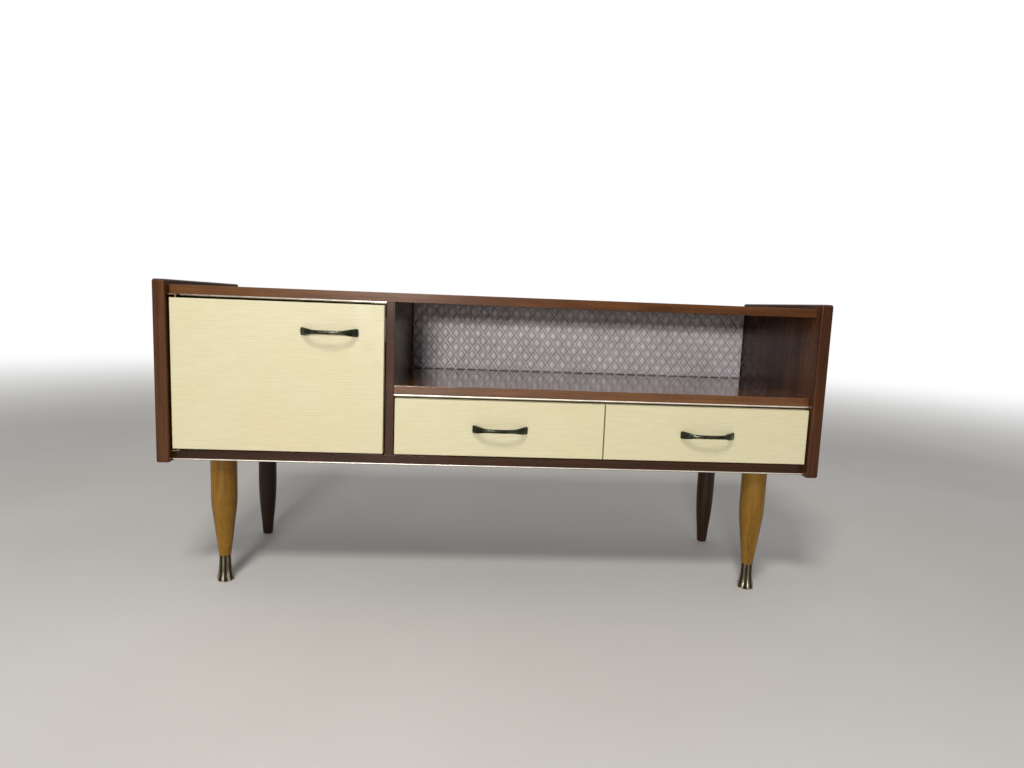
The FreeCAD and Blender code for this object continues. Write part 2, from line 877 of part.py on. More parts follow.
def door_leaf(label, low):
    """The bushed plate let into the door's edge round a pivot pin."""
    body = box_piece(label, leaf_left, leaf_low_y, low, leaf_length, leaf_width, plate_thickness)
    centre = [(pivot_x - leaf_left, pivot_y - leaf_low_y)]
    drill(body, "XY_Plane", ZERO, centre, pin_hole, plate_thickness, True)
    return body


door_leaf("door_lower_pivot_leaf", door_low)
door_leaf("door_upper_pivot_leaf", door_high - plate_thickness)

plate_left = inside_left + leaf_fit
plate_front = pivot_y - dim("plate_width") / 2
plate_length = dim("plate_length")
plate_width = dim("plate_width")


def pivot_plate(label, low, upwards, stem, collar):
    """A plate on a case board that reaches forward and carries a pivot pin."""
    body = box_piece(label, plate_left, plate_front, low,
                     plate_width, plate_length, plate_thickness)

    def front_corner(edge):
        ends = [vertex.Point for vertex in edge.Vertexes]
        return all(near(point.y, 0) for point in ends) and near(ends[0].x, ends[1].x)

    round_edges(body, body.Tip, plate_width / 4, front_corner)
    face = plate_thickness if upwards else ZERO
    centre = (pivot_x - plate_left, pivot_y - plate_front)
    if collar.value > 0:
        ring = new_sketch(body, "XY_Plane", face)
        circle(ring, centre[0], centre[1], dim("collar_diameter"))
        pad(body, ring, collar, not upwards)
    pin = new_sketch(body, "XY_Plane", face)
    circle(pin, centre[0], centre[1], dim("pin_diameter"))
    pad(body, pin, stem, not upwards)
    return body


lower_stem = door_low - bottom_high - plate_thickness + pin_reach
lower_collar = door_low - bottom_high - plate_thickness - dim("pivot_gap")
upper_stem = top_low - plate_thickness - door_high + pin_reach
pivot_plate("lower_pivot_plate", bottom_high, True, lower_stem, lower_collar)
pivot_plate("upper_pivot_plate", top_low - plate_thickness, False, upper_stem, ZERO)

# The top strip is notched over the upper plate

notch_fit = dim("leaf_fit")
notch = new_sketch(top_trim, "XY_Plane", trim_height)
rectangle(notch, ZERO, ZERO, plate_left + plate_width + notch_fit - inside_left, trim_depth)
pocket(top_trim, notch, plate_thickness + notch_fit)

handle("door_handle", door_handle_x, door_handle_z)
handle_screws("door_handle_screws", door_handle_x, door_handle_z)

# Magnetic catch on the divider and its plate on the door

catch_gap = dim("catch_gap")
catch_pole = dim("catch_pole")
catch_depth = dim("catch_depth")
catch_width = dim("catch_width")
catch_length = dim("catch_length")
strike_thickness = dim("strike_thickness")
strike_width = dim("strike_width")
strike_length = dim("strike_length")
catch_low = bottom_high + dim("catch_rise")
catch_front = inner_face + strike_thickness + catch_gap
catch = box_piece("magnetic_catch", divider_left - catch_width, catch_front + catch_pole,
                  catch_low, catch_width, catch_depth, catch_length)
for share in (0.25, 0.75):
    pole = new_sketch(catch, "XZ_Plane")
    middle = catch_width * share
    rectangle(pole, middle - strike_thickness / 2, catch_length * 0.15,
              middle + strike_thickness / 2, catch_length * 0.85)
    pad(catch, pole, catch_pole)
strike_middle = catch_low + catch_length / 2
box_piece("catch_strike_plate", divider_left - catch_width / 2 - strike_width / 2, inner_face,
          strike_middle - strike_length / 2, strike_width, strike_thickness, strike_length)

# Drawers: front, grooved sides, back and bottom

drawer_wall = dim("drawer_wall")
side_gap = dim("box_side_gap")
side_height = dim("drawer_side_height")
drawer_length = back_plane - dim("drawer_back_gap") - inner_face
drawer_high = shelf_low - trim_height - dim("drawer_top_gap")
side_low = fronts_low + dim("drawer_side_raise")
bottom_thickness = dim("drawer_bottom_thickness")
bottom_rise = dim("drawer_bottom_raise")
bottom_groove = dim("bottom_groove_depth")
groove_fit = dim("groove_fit")
runner_height = dim("runner_height")
runner_projection = dim("runner_projection")
runner_groove = dim("runner_groove_depth")
runner_fit = dim("runner_fit")
runner_rise = dim("runner_rise")
runner_front = front_plane + dim("runner_setback")
runner_length = back_plane - dim("runner_back_gap") - runner_front
drawer_middle = divider_right + (inside_right - divider_right) / 2
half_middle_gap = dim("drawer_middle_gap") / 2


def drawer_side(label, left, groove_outer, groove_inner):
    """One grooved side; the grooves are given by their left and right lines."""
    body = box_piece(label, left, inner_face, side_low, drawer_wall, drawer_length, side_height)
    low = runner_rise - runner_fit
    high = runner_rise + runner_height + runner_fit
    start = runner_front - runner_fit - inner_face
    channel = new_sketch(body, "XY_Plane", low)
    rectangle(channel, groove_outer[0], start, groove_outer[1], drawer_length)
    pocket(body, channel, high - low, True)
    slot = new_sketch(body, "XY_Plane", bottom_rise)
    rectangle(slot, groove_inner[0], ZERO, groove_inner[1], drawer_length)
    pocket(body, slot, bottom_thickness + 2 * groove_fit, True)
    return body


def drawer(side, left, right, bay_left, bay_right):
    """All the pieces of one drawer between the walls of its bay."""
    handle_x = (left + right) / 2
    handle_z = (fronts_low + drawer_high) / 2
    front_panel(f"{side}_drawer_front", left, right, fronts_low, drawer_high,
                handle_x, handle_z)
    handle(f"{side}_drawer_handle", handle_x, handle_z)
    handle_screws(f"{side}_drawer_handle_screws", handle_x, handle_z)
    outer_left = bay_left + side_gap
    outer_right = bay_right - side_gap
    far = drawer_wall - runner_groove
    near_line = drawer_wall - bottom_groove
    drawer_side(f"{side}_drawer_left_side", outer_left,
                (ZERO, runner_groove), (near_line, drawer_wall))
    drawer_side(f"{side}_drawer_right_side", outer_right - drawer_wall,
                (far, drawer_wall), (ZERO, bottom_groove))
    inner_left = outer_left + drawer_wall
    inner_right = outer_right - drawer_wall
    floor_low = side_low + bottom_rise + groove_fit
    back_low = floor_low + bottom_thickness + groove_fit
    box_piece(f"{side}_drawer_back", inner_left, inner_face + drawer_length - drawer_wall,
              back_low, inner_right - inner_left, drawer_wall,
              side_low + side_height - back_low)
    reach = bottom_groove - groove_fit
    box_piece(f"{side}_drawer_bottom", inner_left - reach, inner_face + groove_fit, floor_low,
              inner_right - inner_left + 2 * reach, drawer_length - groove_fit,
              bottom_thickness)


drawer("left", divider_right + dim("drawer_edge_gap"), drawer_middle - half_middle_gap,
       divider_right, partition_left)
drawer("right", drawer_middle + half_middle_gap, inside_right - dim("drawer_edge_gap"),
       partition_right, inside_right)

# Four hardwood runners, one in the groove of each drawer side

runners = []
for wall, direction in ((divider_right, 1), (partition_left, -1),
                        (partition_right, 1), (inside_right, -1)):
    rail = doc.addObject("Part::Box", "Runner")
    bind(rail, "Length", runner_projection)
    bind(rail, "Width", runner_length)
    bind(rail, "Height", runner_height)
    start = wall if direction > 0 else wall - runner_projection
    place(rail, start, runner_front, side_low + runner_rise)
    runners.append(rail)
rails = doc.addObject("Part::Compound", "drawer_runners")
rails.Links = runners
keep(rails, "drawer_runners")

# Legs: steel plates, studs, turned legs and brass ferrules

stud_diameter = dim("stud_diameter")
stud_fit = dim("stud_fit")
boss_height = dim("leg_plate_boss_height")
plate_side = dim("leg_plate_side")
stud_hole = stud_diameter + 2 * stud_fit


def leg_mounting_plate(label, x, y):
    """A square plate under the case with a threaded boss and four screw holes."""
    body = new_body(label, x, y, leg_top)
    sketch = new_sketch(body, "XY_Plane")
    half = plate_side / 2
    rectangle(sketch, -half, -half, half, half)
    slab = pad(body, sketch, leg_plate)

    def corner(edge):
        ends = [vertex.Point for vertex in edge.Vertexes]
        return not near(ends[0].z, ends[1].z)

    round_edges(body, slab, dim("leg_plate_corner"), corner)
    ring = new_sketch(body, "XY_Plane", leg_plate)
    circle(ring, ZERO, ZERO, dim("leg_plate_boss"))
    pad(body, ring, boss_height)
    drill(body, "XY_Plane", ZERO, [(ZERO, ZERO)], stud_hole, leg_plate + boss_height, True)
    drill(body, "XY_Plane", ZERO, plate_screws, dim("leg_screw_head") + 2 * screw_fit,
          leg_plate / 2, True)
    drill(body, "XY_Plane", ZERO, plate_screws, screw_hole, leg_plate, True)
    return body


studs = []
screws = []
for name, x, y in leg_spots:
    leg_mounting_plate(f"{name}_leg_plate", x, y)
    stud = doc.addObject("Part::Cylinder", "LegStud")
    bind(stud, "Radius", stud_diameter / 2)
    bind(stud, "Height", dim("stud_leg_depth") + leg_plate + boss_height)
    place(stud, x, y, leg_top - dim("stud_leg_depth"))
    studs.append(stud)
    for across, along in plate_screws:
        head = doc.addObject("Part::Cylinder", "PlateScrewHead")
        bind(head, "Radius", dim("leg_screw_head") / 2)
        bind(head, "Height", leg_plate / 2)
        place(head, x + across, y + along, leg_top)
        shank = doc.addObject("Part::Cylinder", "PlateScrewShank")
        bind(shank, "Radius", screw_diameter / 2)
        bind(shank, "Height", dim("leg_screw_length"))
        place(shank, x + across, y + along, leg_top)
        screw = doc.addObject("Part::MultiFuse", "PlateScrew")
        screw.Shapes = [head, shank]
        screws.append(screw)
for label, group in (("leg_studs", studs), ("leg_plate_screws", screws)):
    whole = doc.addObject("Part::Compound", label)
    whole.Links = group
    keep(whole, label)

ferrule_height = dim("ferrule_height")
ferrule_floor = dim("ferrule_floor")
ferrule_fit = dim("ferrule_fit")
tenon = dim("ferrule_tenon")


def front_leg(label, x, y):
    """A turned front leg: a stout top, a long taper and a tenon for the ferrule."""
    body = new_body(label, x, y, ferrule_floor + ferrule_fit)
    base = ferrule_floor + ferrule_fit
    total = leg_top - base
    foot = ferrule_height + ferrule_fit - base
    shoulder = dim("front_leg_shoulder_height") - base
    sketch = new_sketch(body, "XZ_Plane")
    polygon(sketch, [
        (ZERO, ZERO),
        (tenon / 2, ZERO),
        (tenon / 2, foot),
        (dim("front_leg_foot") / 2, foot),
        (dim("front_leg_shoulder") / 2, shoulder),
        (dim("front_leg_top") / 2, total),
        (ZERO, total),
    ])
    turned = revolve(body, sketch)

    def shoulder_edge(edge):
        return near(edge.Vertexes[0].Point.z, shoulder.value) and len(edge.Vertexes) == 1

    round_edges(body, turned, dim("front_leg_shoulder_blend"), shoulder_edge)
    drill(body, "XY_Plane", total, [(ZERO, ZERO)], stud_hole,
          dim("stud_leg_depth") + stud_fit)
    return body


def rear_leg(label, x, y):
    """A plain tapered rear leg with a rounded tip."""
    body = new_body(label, x, y, ZERO)
    sketch = new_sketch(body, "XZ_Plane")
    polygon(sketch, [
        (ZERO, ZERO),
        (dim("rear_leg_foot") / 2, ZERO),
        (dim("rear_leg_ankle") / 2, dim("rear_leg_ankle_height")),
        (dim("rear_leg_shoulder") / 2, dim("rear_leg_shoulder_height")),
        (dim("rear_leg_top") / 2, leg_top),
        (ZERO, leg_top),
    ], {2: dim("rear_leg_swell")})
    turned = revolve(body, sketch)

    def foot_edge(edge):
        return near(edge.Vertexes[0].Point.z, 0) and len(edge.Vertexes) == 1

    round_edges(body, turned, dim("rear_leg_foot_round"), foot_edge)
    drill(body, "XY_Plane", leg_top, [(ZERO, ZERO)], stud_hole,
          dim("stud_leg_depth") + stud_fit)
    return body


def petal_ring(diameter, height):
    """A ring of convex lobes that meet in shallow creases."""
    lobes = int(dim("ferrule_petals").value)
    outer = diameter / 2
    crease = outer - dim("ferrule_petal_depth").value * diameter / dim("ferrule_foot").value
    step = 2 * math.pi / lobes

    def ring_point(radius, angle):
        return FreeCAD.Vector(radius * math.cos(angle), radius * math.sin(angle), height)

    arcs = []
    for lobe in range(lobes):
        start = ring_point(crease, step * lobe)
        middle = ring_point(outer, step * (lobe + 0.5))
        finish = ring_point(crease, step * (lobe + 1))
        arcs.append(Part.Arc(start, middle, finish).toShape())
    return Part.Wire(arcs)


def ferrule_shape():
    """A fluted tulip of brass, bored for the tenon of its leg."""
    rings = [petal_ring(dim(f"ferrule_{name}").value, dim(f"ferrule_{name}_height").value)
             for name in ("sole", "foot", "instep", "flare", "waist", "stem")]
    rings.append(petal_ring(dim("ferrule_top").value, ferrule_height.value))
    tulip = Part.makeLoft(rings, True, True)
    bore = Part.makeCylinder(tenon.value / 2 + ferrule_fit.value, ferrule_height.value,
                             FreeCAD.Vector(0, 0, ferrule_floor.value))
    return tulip.cut(bore)


for name, x, y in leg_spots:
    if name.startswith("front"):
        front_leg(f"{name}_leg", x, y)
        ferrule = doc.addObject("Part::Feature", f"{name}_ferrule")
        ferrule.Shape = ferrule_shape()
        place(ferrule, x, y, ZERO)
        keep(ferrule, f"{name}_ferrule")
    else:
        rear_leg(f"{name}_leg", x, y)

# Check and write every piece

doc.recompute()
for obj in doc.Objects:
    if "Invalid" in obj.State or "Error" in obj.State:
        raise RuntimeError(f"{obj.Label} did not build")
for piece in pieces:
    if piece.Shape.isNull() or not piece.Shape.isValid():
        raise RuntimeError(f"{piece.Label} has no valid shape")

os.makedirs("parts", exist_ok=True)
for piece in pieces:
    piece.Shape.exportStep(f"parts/{piece.Label}.step")
print(len(pieces), "pieces written")
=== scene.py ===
"""A console television cabinet, dressed and lit for a plain studio picture."""
import logging
import math
from dataclasses import dataclass, field
from enum import Enum
from typing import Any, Callable, Sequence, Union

import bmesh
import bpy
from mathutils import Matrix, Vector


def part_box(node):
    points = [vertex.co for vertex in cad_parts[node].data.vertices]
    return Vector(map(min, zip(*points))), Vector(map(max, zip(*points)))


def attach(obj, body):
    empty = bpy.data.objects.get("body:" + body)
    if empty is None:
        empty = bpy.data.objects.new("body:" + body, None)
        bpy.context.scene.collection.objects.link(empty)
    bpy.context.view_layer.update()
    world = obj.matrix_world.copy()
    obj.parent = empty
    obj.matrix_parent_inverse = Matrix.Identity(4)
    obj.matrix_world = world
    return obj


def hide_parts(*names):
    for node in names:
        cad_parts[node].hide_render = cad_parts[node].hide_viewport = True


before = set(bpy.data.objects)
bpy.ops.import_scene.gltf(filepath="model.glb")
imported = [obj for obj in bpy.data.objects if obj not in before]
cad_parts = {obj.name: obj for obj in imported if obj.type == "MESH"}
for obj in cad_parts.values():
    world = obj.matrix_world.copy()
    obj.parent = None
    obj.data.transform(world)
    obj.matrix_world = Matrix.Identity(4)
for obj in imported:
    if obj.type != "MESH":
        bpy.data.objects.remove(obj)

log = logging.getLogger("cabinet")
MILLIMETRE = 0.001
QUARTER_TURN = math.radians(90)
NEAR = 0.1 * MILLIMETRE  # Points closer than this are in one place.
MERGED = 0.002 * MILLIMETRE  # Points closer than this become one.
FACING = 0.9  # A direction that reaches this far along an axis runs along it.
WAVE_BANDS = 20 / math.tau  # The bands of a Wave texture in one unit.
NOWHERE = (0.0, 0.0, 0.0)
Colour = tuple[float, float, float, float]
WHITE: Colour = (1.0, 1.0, 1.0, 1.0)
Triple = Sequence[float]
Piece = bpy.types.Object
Material = bpy.types.Material
Repeats = Union[float, Triple]
Value = Union["Flow", bpy.types.NodeSocket, float, Triple]


def shade(*seen: int) -> Colour:
    """Turns a colour as it is seen, three parts from 0 to 255, into a shader's linear one."""
    shares = [part / 255 for part in seen]
    return (*(share / 12.92 if share <= 0.04045 else ((share + 0.055) / 1.055) ** 2.4
              for share in shares), 1.0)


class Run(Enum):
    """The way that the grain or the ribs of a piece run."""

    ACROSS = 0
    DEEP = 1
    UPRIGHT = 2

    def stretch(self, along: float, over: float) -> Triple:
        """A pattern's repeats in a metre on each axis, from those along and over the run."""
        scale = [over, over, over]
        scale[self.value] = along
        return tuple(scale)


class Pick(Enum):
    """What a selection in edit mode is made of."""

    POINTS = (True, False, False)
    EDGES = (False, True, False)
    FACES = (False, False, True)


# Shader maths


class Flow:
    """A socket of a node tree that is reckoned with like a number."""

    def __init__(self, nodes: "Nodes", socket: bpy.types.NodeSocket) -> None:
        """Wraps one output socket."""
        self.nodes = nodes
        self.socket = socket

    def _maths(self, operation: str, first: Value, second: Value) -> "Flow":
        """The result of one Math node."""
        return self.nodes.add("ShaderNodeMath", {"operation": operation}, {0: first, 1: second})

    def __add__(self, other: Value) -> "Flow":
        """The sum."""
        return self._maths("ADD", self, other)

    def __radd__(self, other: Value) -> "Flow":
        """The sum, the other value first."""
        return self._maths("ADD", other, self)

    def __sub__(self, other: Value) -> "Flow":
        """The difference."""
        return self._maths("SUBTRACT", self, other)

    def __rsub__(self, other: Value) -> "Flow":
        """The difference, the other value first."""
        return self._maths("SUBTRACT", other, self)

    def __mul__(self, other: Value) -> "Flow":
        """The product."""
        return self._maths("MULTIPLY", self, other)

    def __rmul__(self, other: Value) -> "Flow":
        """The product, the other value first."""
        return self._maths("MULTIPLY", other, self)

    def band(self, low: float, high: float, to_low: float = 0.0, to_high: float = 1.0) -> "Flow":
        """Stretches a band of values smoothly over a new one and holds it there.

        Args:
            low: Where the band starts.
            high: Where it ends.
            to_low: The result at its start.
            to_high: The result at its end.

        Returns:
            The stretched value.
        """
        return self.nodes.add("ShaderNodeMapRange", {"interpolation_type": "SMOOTHSTEP"}, {
            "Value": self, "From Min": low, "From Max": high, "To Min": to_low, "To Max": to_high})


class Nodes:
    """A node tree that is put together one node at a time."""

    def __init__(self, owner: Union[Material, bpy.types.World]) -> None:
        """Clears the tree of a material or a world."""
        owner.use_nodes = True
        self.tree = owner.node_tree
        self.tree.nodes.clear()

    def feed(self, socket: bpy.types.NodeSocket, value: Value) -> None:
        """Links an input socket, or sets it to a constant."""
        if isinstance(value, Flow):
            value = value.socket
        if isinstance(value, bpy.types.NodeSocket):
            self.tree.links.new(value, socket)
        else:
            socket.default_value = value

    def add(self, kind: str, settings: dict[str, Any], inputs: dict[Any, Value],
            output: Union[int, str] = 0) -> Flow:
        """Adds any node.

        Args:
            kind: The node's type.
            settings: Its settings, which are set first.
            inputs: The values or links of its sockets, by name or number.
            output: The output that is wanted.

        Returns:
            That output.
        """
        node = self.tree.nodes.new(kind)
        for name, value in settings.items():
            setattr(node, name, value)
        for name, value in inputs.items():
            self.feed(node.inputs[name], value)
        return Flow(self, node.outputs[output])

    def ramp(self, share: Value, *stops: tuple[float, Colour]) -> Flow:
        """Colours by a value from 0 to 1, through stops of a place and a colour."""
        ramp = self.add("ShaderNodeValToRGB", {}, {"Fac": share})
        elements = ramp.socket.node.color_ramp.elements
        while len(elements) < len(stops):
            elements.new(1.0)
        for element, (place, colour) in zip(elements, stops):
            element.position = place
            element.color = colour
        return ramp

    def mix(self, share: Value, first: Value, second: Value) -> Flow:
        """Mixes two colours, with the share of the second one from 0 to 1."""
        return self.add("ShaderNodeMix", {"data_type": "RGBA"}, {0: share, 6: first, 7: second}, 2)

    def part(self, vector: Value, axis: str) -> Flow:
        """One part of a vector: "X", "Y" or "Z"."""
        return self.add("ShaderNodeSeparateXYZ", {}, {"Vector": vector}, axis)

    def ray(self, kind: str) -> Flow:
        """Whether a ray is of a kind, such as "Is Camera Ray"."""
        return self.add("ShaderNodeLightPath", {}, {}, kind)


class Recipe(Nodes):
    """The nodes of one material."""

    def __init__(self, name: str) -> None:
        """Starts a named material with its shader and nothing else."""
        self.material = bpy.data.materials.new(name)
        super().__init__(self.material)
        self.output = self.tree.nodes.new("ShaderNodeOutputMaterial")
        self.shader = self.tree.nodes.new("ShaderNodeBsdfPrincipled")
        self.tree.links.new(self.shader.outputs[0], self.output.inputs["Surface"])

    def place(self, scale: Repeats, shift: Triple = NOWHERE) -> Flow:
        """The object's own coordinates, with a pattern's repeats in a metre and its shift."""
        here = self.add("ShaderNodeTexCoord", {}, {}, "Object")
        if isinstance(scale, float):
            scale = (scale, scale, scale)
        return self.add("ShaderNodeMapping", {}, {
            "Vector": here, "Scale": scale, "Location": shift})

    def noise(self, scale: Repeats, detail: float = 3.0, rough: float = 0.5, warp: float = 0.0,
              shift: Triple = NOWHERE) -> Flow:
        """A cloudy pattern from 0 to 1.

        Args:
            scale: Repeats in a metre, on all axes or on each.
            detail: How many finer layers it has.
            rough: How strong the finer layers are.
            warp: How much it is swirled.
            shift: Where it starts.

        Returns:
            The pattern's value.
        """
        return self.add("ShaderNodeTexNoise", {}, {
            "Vector": self.place(scale, shift), "Scale": 1.0, "Detail": detail,
            "Roughness": rough, "Distortion": warp})

    def attribute(self, name: str) -> Flow:
        """A measure that is stored in the mesh."""
        return self.add("ShaderNodeAttribute", {"attribute_name": name}, {}, "Fac")

    def relief(self, height: Flow, depth: float, strength: float) -> Flow:
        """The normal of a bump, its depth in millimetres where the height is 1."""
        return self.add("ShaderNodeBump", {}, {
            "Height": height, "Distance": depth * MILLIMETRE, "Strength": strength})


# Finishes


@dataclass(frozen=True)
class Finish:
    """A surface's looks. Each kind says what its shader is fed."""

    name: str

    def inputs(self, recipe: Recipe) -> dict[str, Value]:
        """The shader's sockets and what they are fed."""
        raise NotImplementedError

    def make(self) -> Material:
        """Makes the material."""
        recipe = Recipe(self.name)
        for socket, value in self.inputs(recipe).items():
            recipe.feed(recipe.shader.inputs[socket], value)
        return recipe.material


@dataclass(frozen=True)
class Veneer(Finish):
    """Reddish brown ribbon-striped veneer under a clear gloss lacquer."""

    run: Run
    dark: Colour = shade(36, 16, 7)
    middle: Colour = shade(70, 38, 18)
    light: Colour = shade(102, 63, 30)
    gloss: float = 0.24
    lacquer: float = 0.2

    def inputs(self, recipe: Recipe) -> dict[str, Value]:
        """Bands, ribbon, fibres and pores along the run."""
        stretch = self.run.stretch
        wander = recipe.noise(stretch(0.9, 7.0), 2.0)
        bands = recipe.noise(stretch(0.7, 34.0), 3.0, 0.55, 0.35)
        ribbon = recipe.noise(stretch(9.0, 70.0), 2.0, shift=(3.1, 1.7, 5.2))
        fibre = recipe.noise(stretch(7.0, 520.0), 2.0, 0.6)
        pores = recipe.noise(stretch(38.0, 1150.0), 1.0).band(0.6, 0.74)
        tone = bands * 0.52 + ribbon * 0.22 + fibre * 0.2 + wander * 0.12 - 0.03
        wood = recipe.ramp(tone, (0.3, self.dark), (0.5, self.middle), (0.72, self.light))
        rubbed = recipe.noise(9.0, 4.0, 0.6)
        return {
            "Base Color": recipe.mix(pores * 0.55, wood, self.dark),
            "Roughness": rubbed.band(0.3, 0.8, self.gloss, self.gloss + 0.16),
            "Normal": recipe.relief(fibre * 0.5 + (1 - pores) * 0.5, 0.06, 0.35),
            "Coat Weight": self.lacquer, "Coat Roughness": 0.08, "Specular IOR Level": 0.15}


@dataclass(frozen=True)
class RibbedCream(Finish):
    """Cream plastic-faced board with fine broken lines across it."""

    ground: Colour = shade(211, 203, 168)
    line: Colour = shade(176, 160, 112)
    warm: Colour = shade(214, 198, 156)
    spacing: float = 3.6 * MILLIMETRE

    def inputs(self, recipe: Recipe) -> dict[str, Value]:
        """Broken lines at one spacing, and faint yellowing."""
        upward = 1 / (WAVE_BANDS * self.spacing)
        lines = recipe.add("ShaderNodeTexWave", {"bands_direction": "Z"}, {
            "Vector": recipe.place((5.0, 1.0, upward)), "Scale": 1.0, "Distortion": 0.8,
            "Detail": 2.0, "Detail Scale": 2.0}, "Fac").band(0.55, 1.0)
        broken = lines * recipe.noise((26.0, 1.0, 270.0), 2.0).band(0.36, 0.6)
        threads = recipe.noise((120.0, 1.0, 1500.0), 1.0)
        cloud = recipe.noise((5.0, 5.0, 9.0)).band(0.35, 0.7)
        cream = recipe.mix(cloud * 0.3, self.ground, self.warm)
        worn = recipe.noise(30.0, 4.0, 0.6)
        return {
            "Base Color": recipe.mix(broken * 0.3 + threads * 0.06, cream, self.line),
            "Roughness": worn.band(0.3, 0.75, 0.34, 0.5),
            "Normal": recipe.relief(1 - broken * 0.8 - threads * 0.2, 0.12, 0.5),
            "Specular IOR Level": 0.4}


@dataclass(frozen=True)
class QuiltedVinyl(Finish):
    """Silver lilac vinyl, welded along diamonds and padded between them."""

    crown: Colour = shade(236, 230, 233)
    # The weld colour is a painted highlight along the lit welds.
    weld: Colour = shade(250, 246, 248)
    # The flank colour is painted shade beside the welds; it also tints the crowns at random.
    painted_shade_flank: Colour = shade(134, 123, 127)

    def inputs(self, recipe: Recipe) -> dict[str, Value]:
        """Painted shade on the flanks and a painted highlight along the welds, by how near the
        weld each point is.
        """
        near = recipe.attribute("weld")
        skin = recipe.noise(900.0, 2.0, 0.6)
        cloud = recipe.noise(11.0).band(0.3, 0.7)
        vinyl = recipe.mix(cloud * 0.35, self.crown, self.painted_shade_flank)
        # Painted shade towards the welds, then a painted highlight on the welds.
        vinyl = recipe.mix(near.band(0.35, 0.8) * 0.5, vinyl, self.painted_shade_flank)
        return {
            "Base Color": recipe.mix(near.band(0.86, 0.97) * 0.8, vinyl, self.weld),
            "Roughness": skin.band(0.2, 0.8, 0.3, 0.46),
            "Normal": recipe.relief(skin, 0.1, 0.4), "Specular IOR Level": 0.55,
            "Coat Weight": 0.15, "Coat Roughness": 0.25}


@dataclass(frozen=True)
class WornMetal(Finish):
    """Metal with a darker patina in patches and fine brushing along one run."""

    bright: Colour
    dull: Colour
    run: Run
    rough: float = 0.3
    patina: float = 0.5
    metallic: float = 1.0

    def inputs(self, recipe: Recipe) -> dict[str, Value]:
        """Patches and specks of patina over brushed metal."""
        patches = recipe.noise(55.0, 4.0, 0.62).band(0.35, 0.7)
        brushed = recipe.noise(self.run.stretch(30.0, 2600.0), 2.0, 0.6)
        specks = recipe.noise(420.0, 2.0).band(0.6, 0.75)
        share = (patches * self.patina + specks * 0.3).band(0.0, 1.0)
        metal = recipe.mix(share, self.bright, self.dull)
        return {
            "Base Color": recipe.mix(brushed * 0.25, metal, self.dull),
            "Metallic": 1 - (share + 0.5) * (1 - self.metallic),
            "Roughness": patches.band(0.0, 1.0, self.rough, self.rough + 0.2),
            "Normal": recipe.relief(brushed, 0.03, 0.3)}


@dataclass(frozen=True)
class FoldedBrass(Finish):
    """Aged brass that is dark in its folds, rubbed bright on its lobes, with a painted glint that
    is strongest on the lobes at the foot.
    """

    bright: Colour = shade(232, 222, 190)
    dull: Colour = shade(66, 60, 42)
    dark: Colour = shade(30, 25, 16)
    # Heights over which the painted glint at the foot fades out.
    foot: tuple[float, float] = (8.0 * MILLIMETRE, 22.0 * MILLIMETRE)

    def inputs(self, recipe: Recipe) -> dict[str, Value]:
        """Rubbing and painted glint, most of all at the foot, by how deep in a fold each point is.
        """
        fold = recipe.attribute("fold")
        patches = recipe.noise((90.0, 90.0, 60.0), 4.0, 0.6)
        # Lobe brightening: partly rubbed wear, partly painted glint, strongest at the foot.
        low = recipe.part(recipe.place(1.0), "Z").band(*self.foot, 1.0, 0.25)
        rubbed = (1 - fold).band(0.35, 1.0) * patches.band(0.35, 0.65, 0.35, 1.0) * low
        brass = recipe.mix(rubbed, self.dull, self.bright)
        return {
            "Base Color": recipe.mix(fold.band(0.55, 1.0) * 0.85, brass, self.dark),
            "Metallic": rubbed.band(0.0, 1.0, 0.8, 1.0),
            "Roughness": rubbed.band(0.0, 1.0, 0.42, 0.2),
            "Normal": recipe.relief(patches, 0.2, 0.25)}


@dataclass(frozen=True)
class TurnedWood(Finish):
    """Lacquered turned hardwood with upright grain and fine lathe lines."""

    dark: Colour
    middle: Colour
    light: Colour

    def inputs(self, recipe: Recipe) -> dict[str, Value]:
        """Long flames, flecks and faint lathe rings."""
        flames = recipe.noise((48.0, 48.0, 3.2), 3.0, 0.55, 0.6)
        fibre = recipe.noise((520.0, 520.0, 14.0), 2.0, 0.6)
        flecks = recipe.noise((900.0, 900.0, 70.0), 1.0).band(0.62, 0.72)
        rings = recipe.noise((1.0, 1.0, 900.0), 1.0)
        wood = recipe.ramp(flames * 0.6 + fibre * 0.32 + rings * 0.08,
                           (0.32, self.dark), (0.5, self.middle), (0.68, self.light))
        return {
            "Base Color": recipe.mix(flecks * 0.45, wood, self.dark),
            "Roughness": flames.band(0.3, 0.7, 0.3, 0.42),
            "Normal": recipe.relief(fibre * 0.6 + rings * 0.4, 0.05, 0.35),
            "Coat Weight": 0.1, "Coat Roughness": 0.15, "Specular IOR Level": 0.2}


@dataclass(frozen=True)
class PlainWood(Finish):
    """Pale unvarnished board with open grain, for what is hidden in use."""

    run: Run
    dark: Colour = shade(160, 122, 78)
    light: Colour = shade(206, 172, 124)

    def inputs(self, recipe: Recipe) -> dict[str, Value]:
        """Growth bands, fibres and stains on a dry surface."""
        bands = recipe.noise(self.run.stretch(1.6, 46.0), 3.0, 0.5, 0.5)
        fibre = recipe.noise(self.run.stretch(16.0, 700.0), 2.0, 0.6)
        stains = recipe.noise(6.0, 4.0).band(0.5, 0.75)
        wood = recipe.ramp(bands * 0.7 + fibre * 0.3, (0.36, self.dark), (0.62, self.light))
        return {
            "Base Color": recipe.mix(stains * 0.3, wood, self.dark),
            "Roughness": fibre.band(0.2, 0.8, 0.55, 0.75),
            "Normal": recipe.relief(fibre, 0.1, 0.4)}


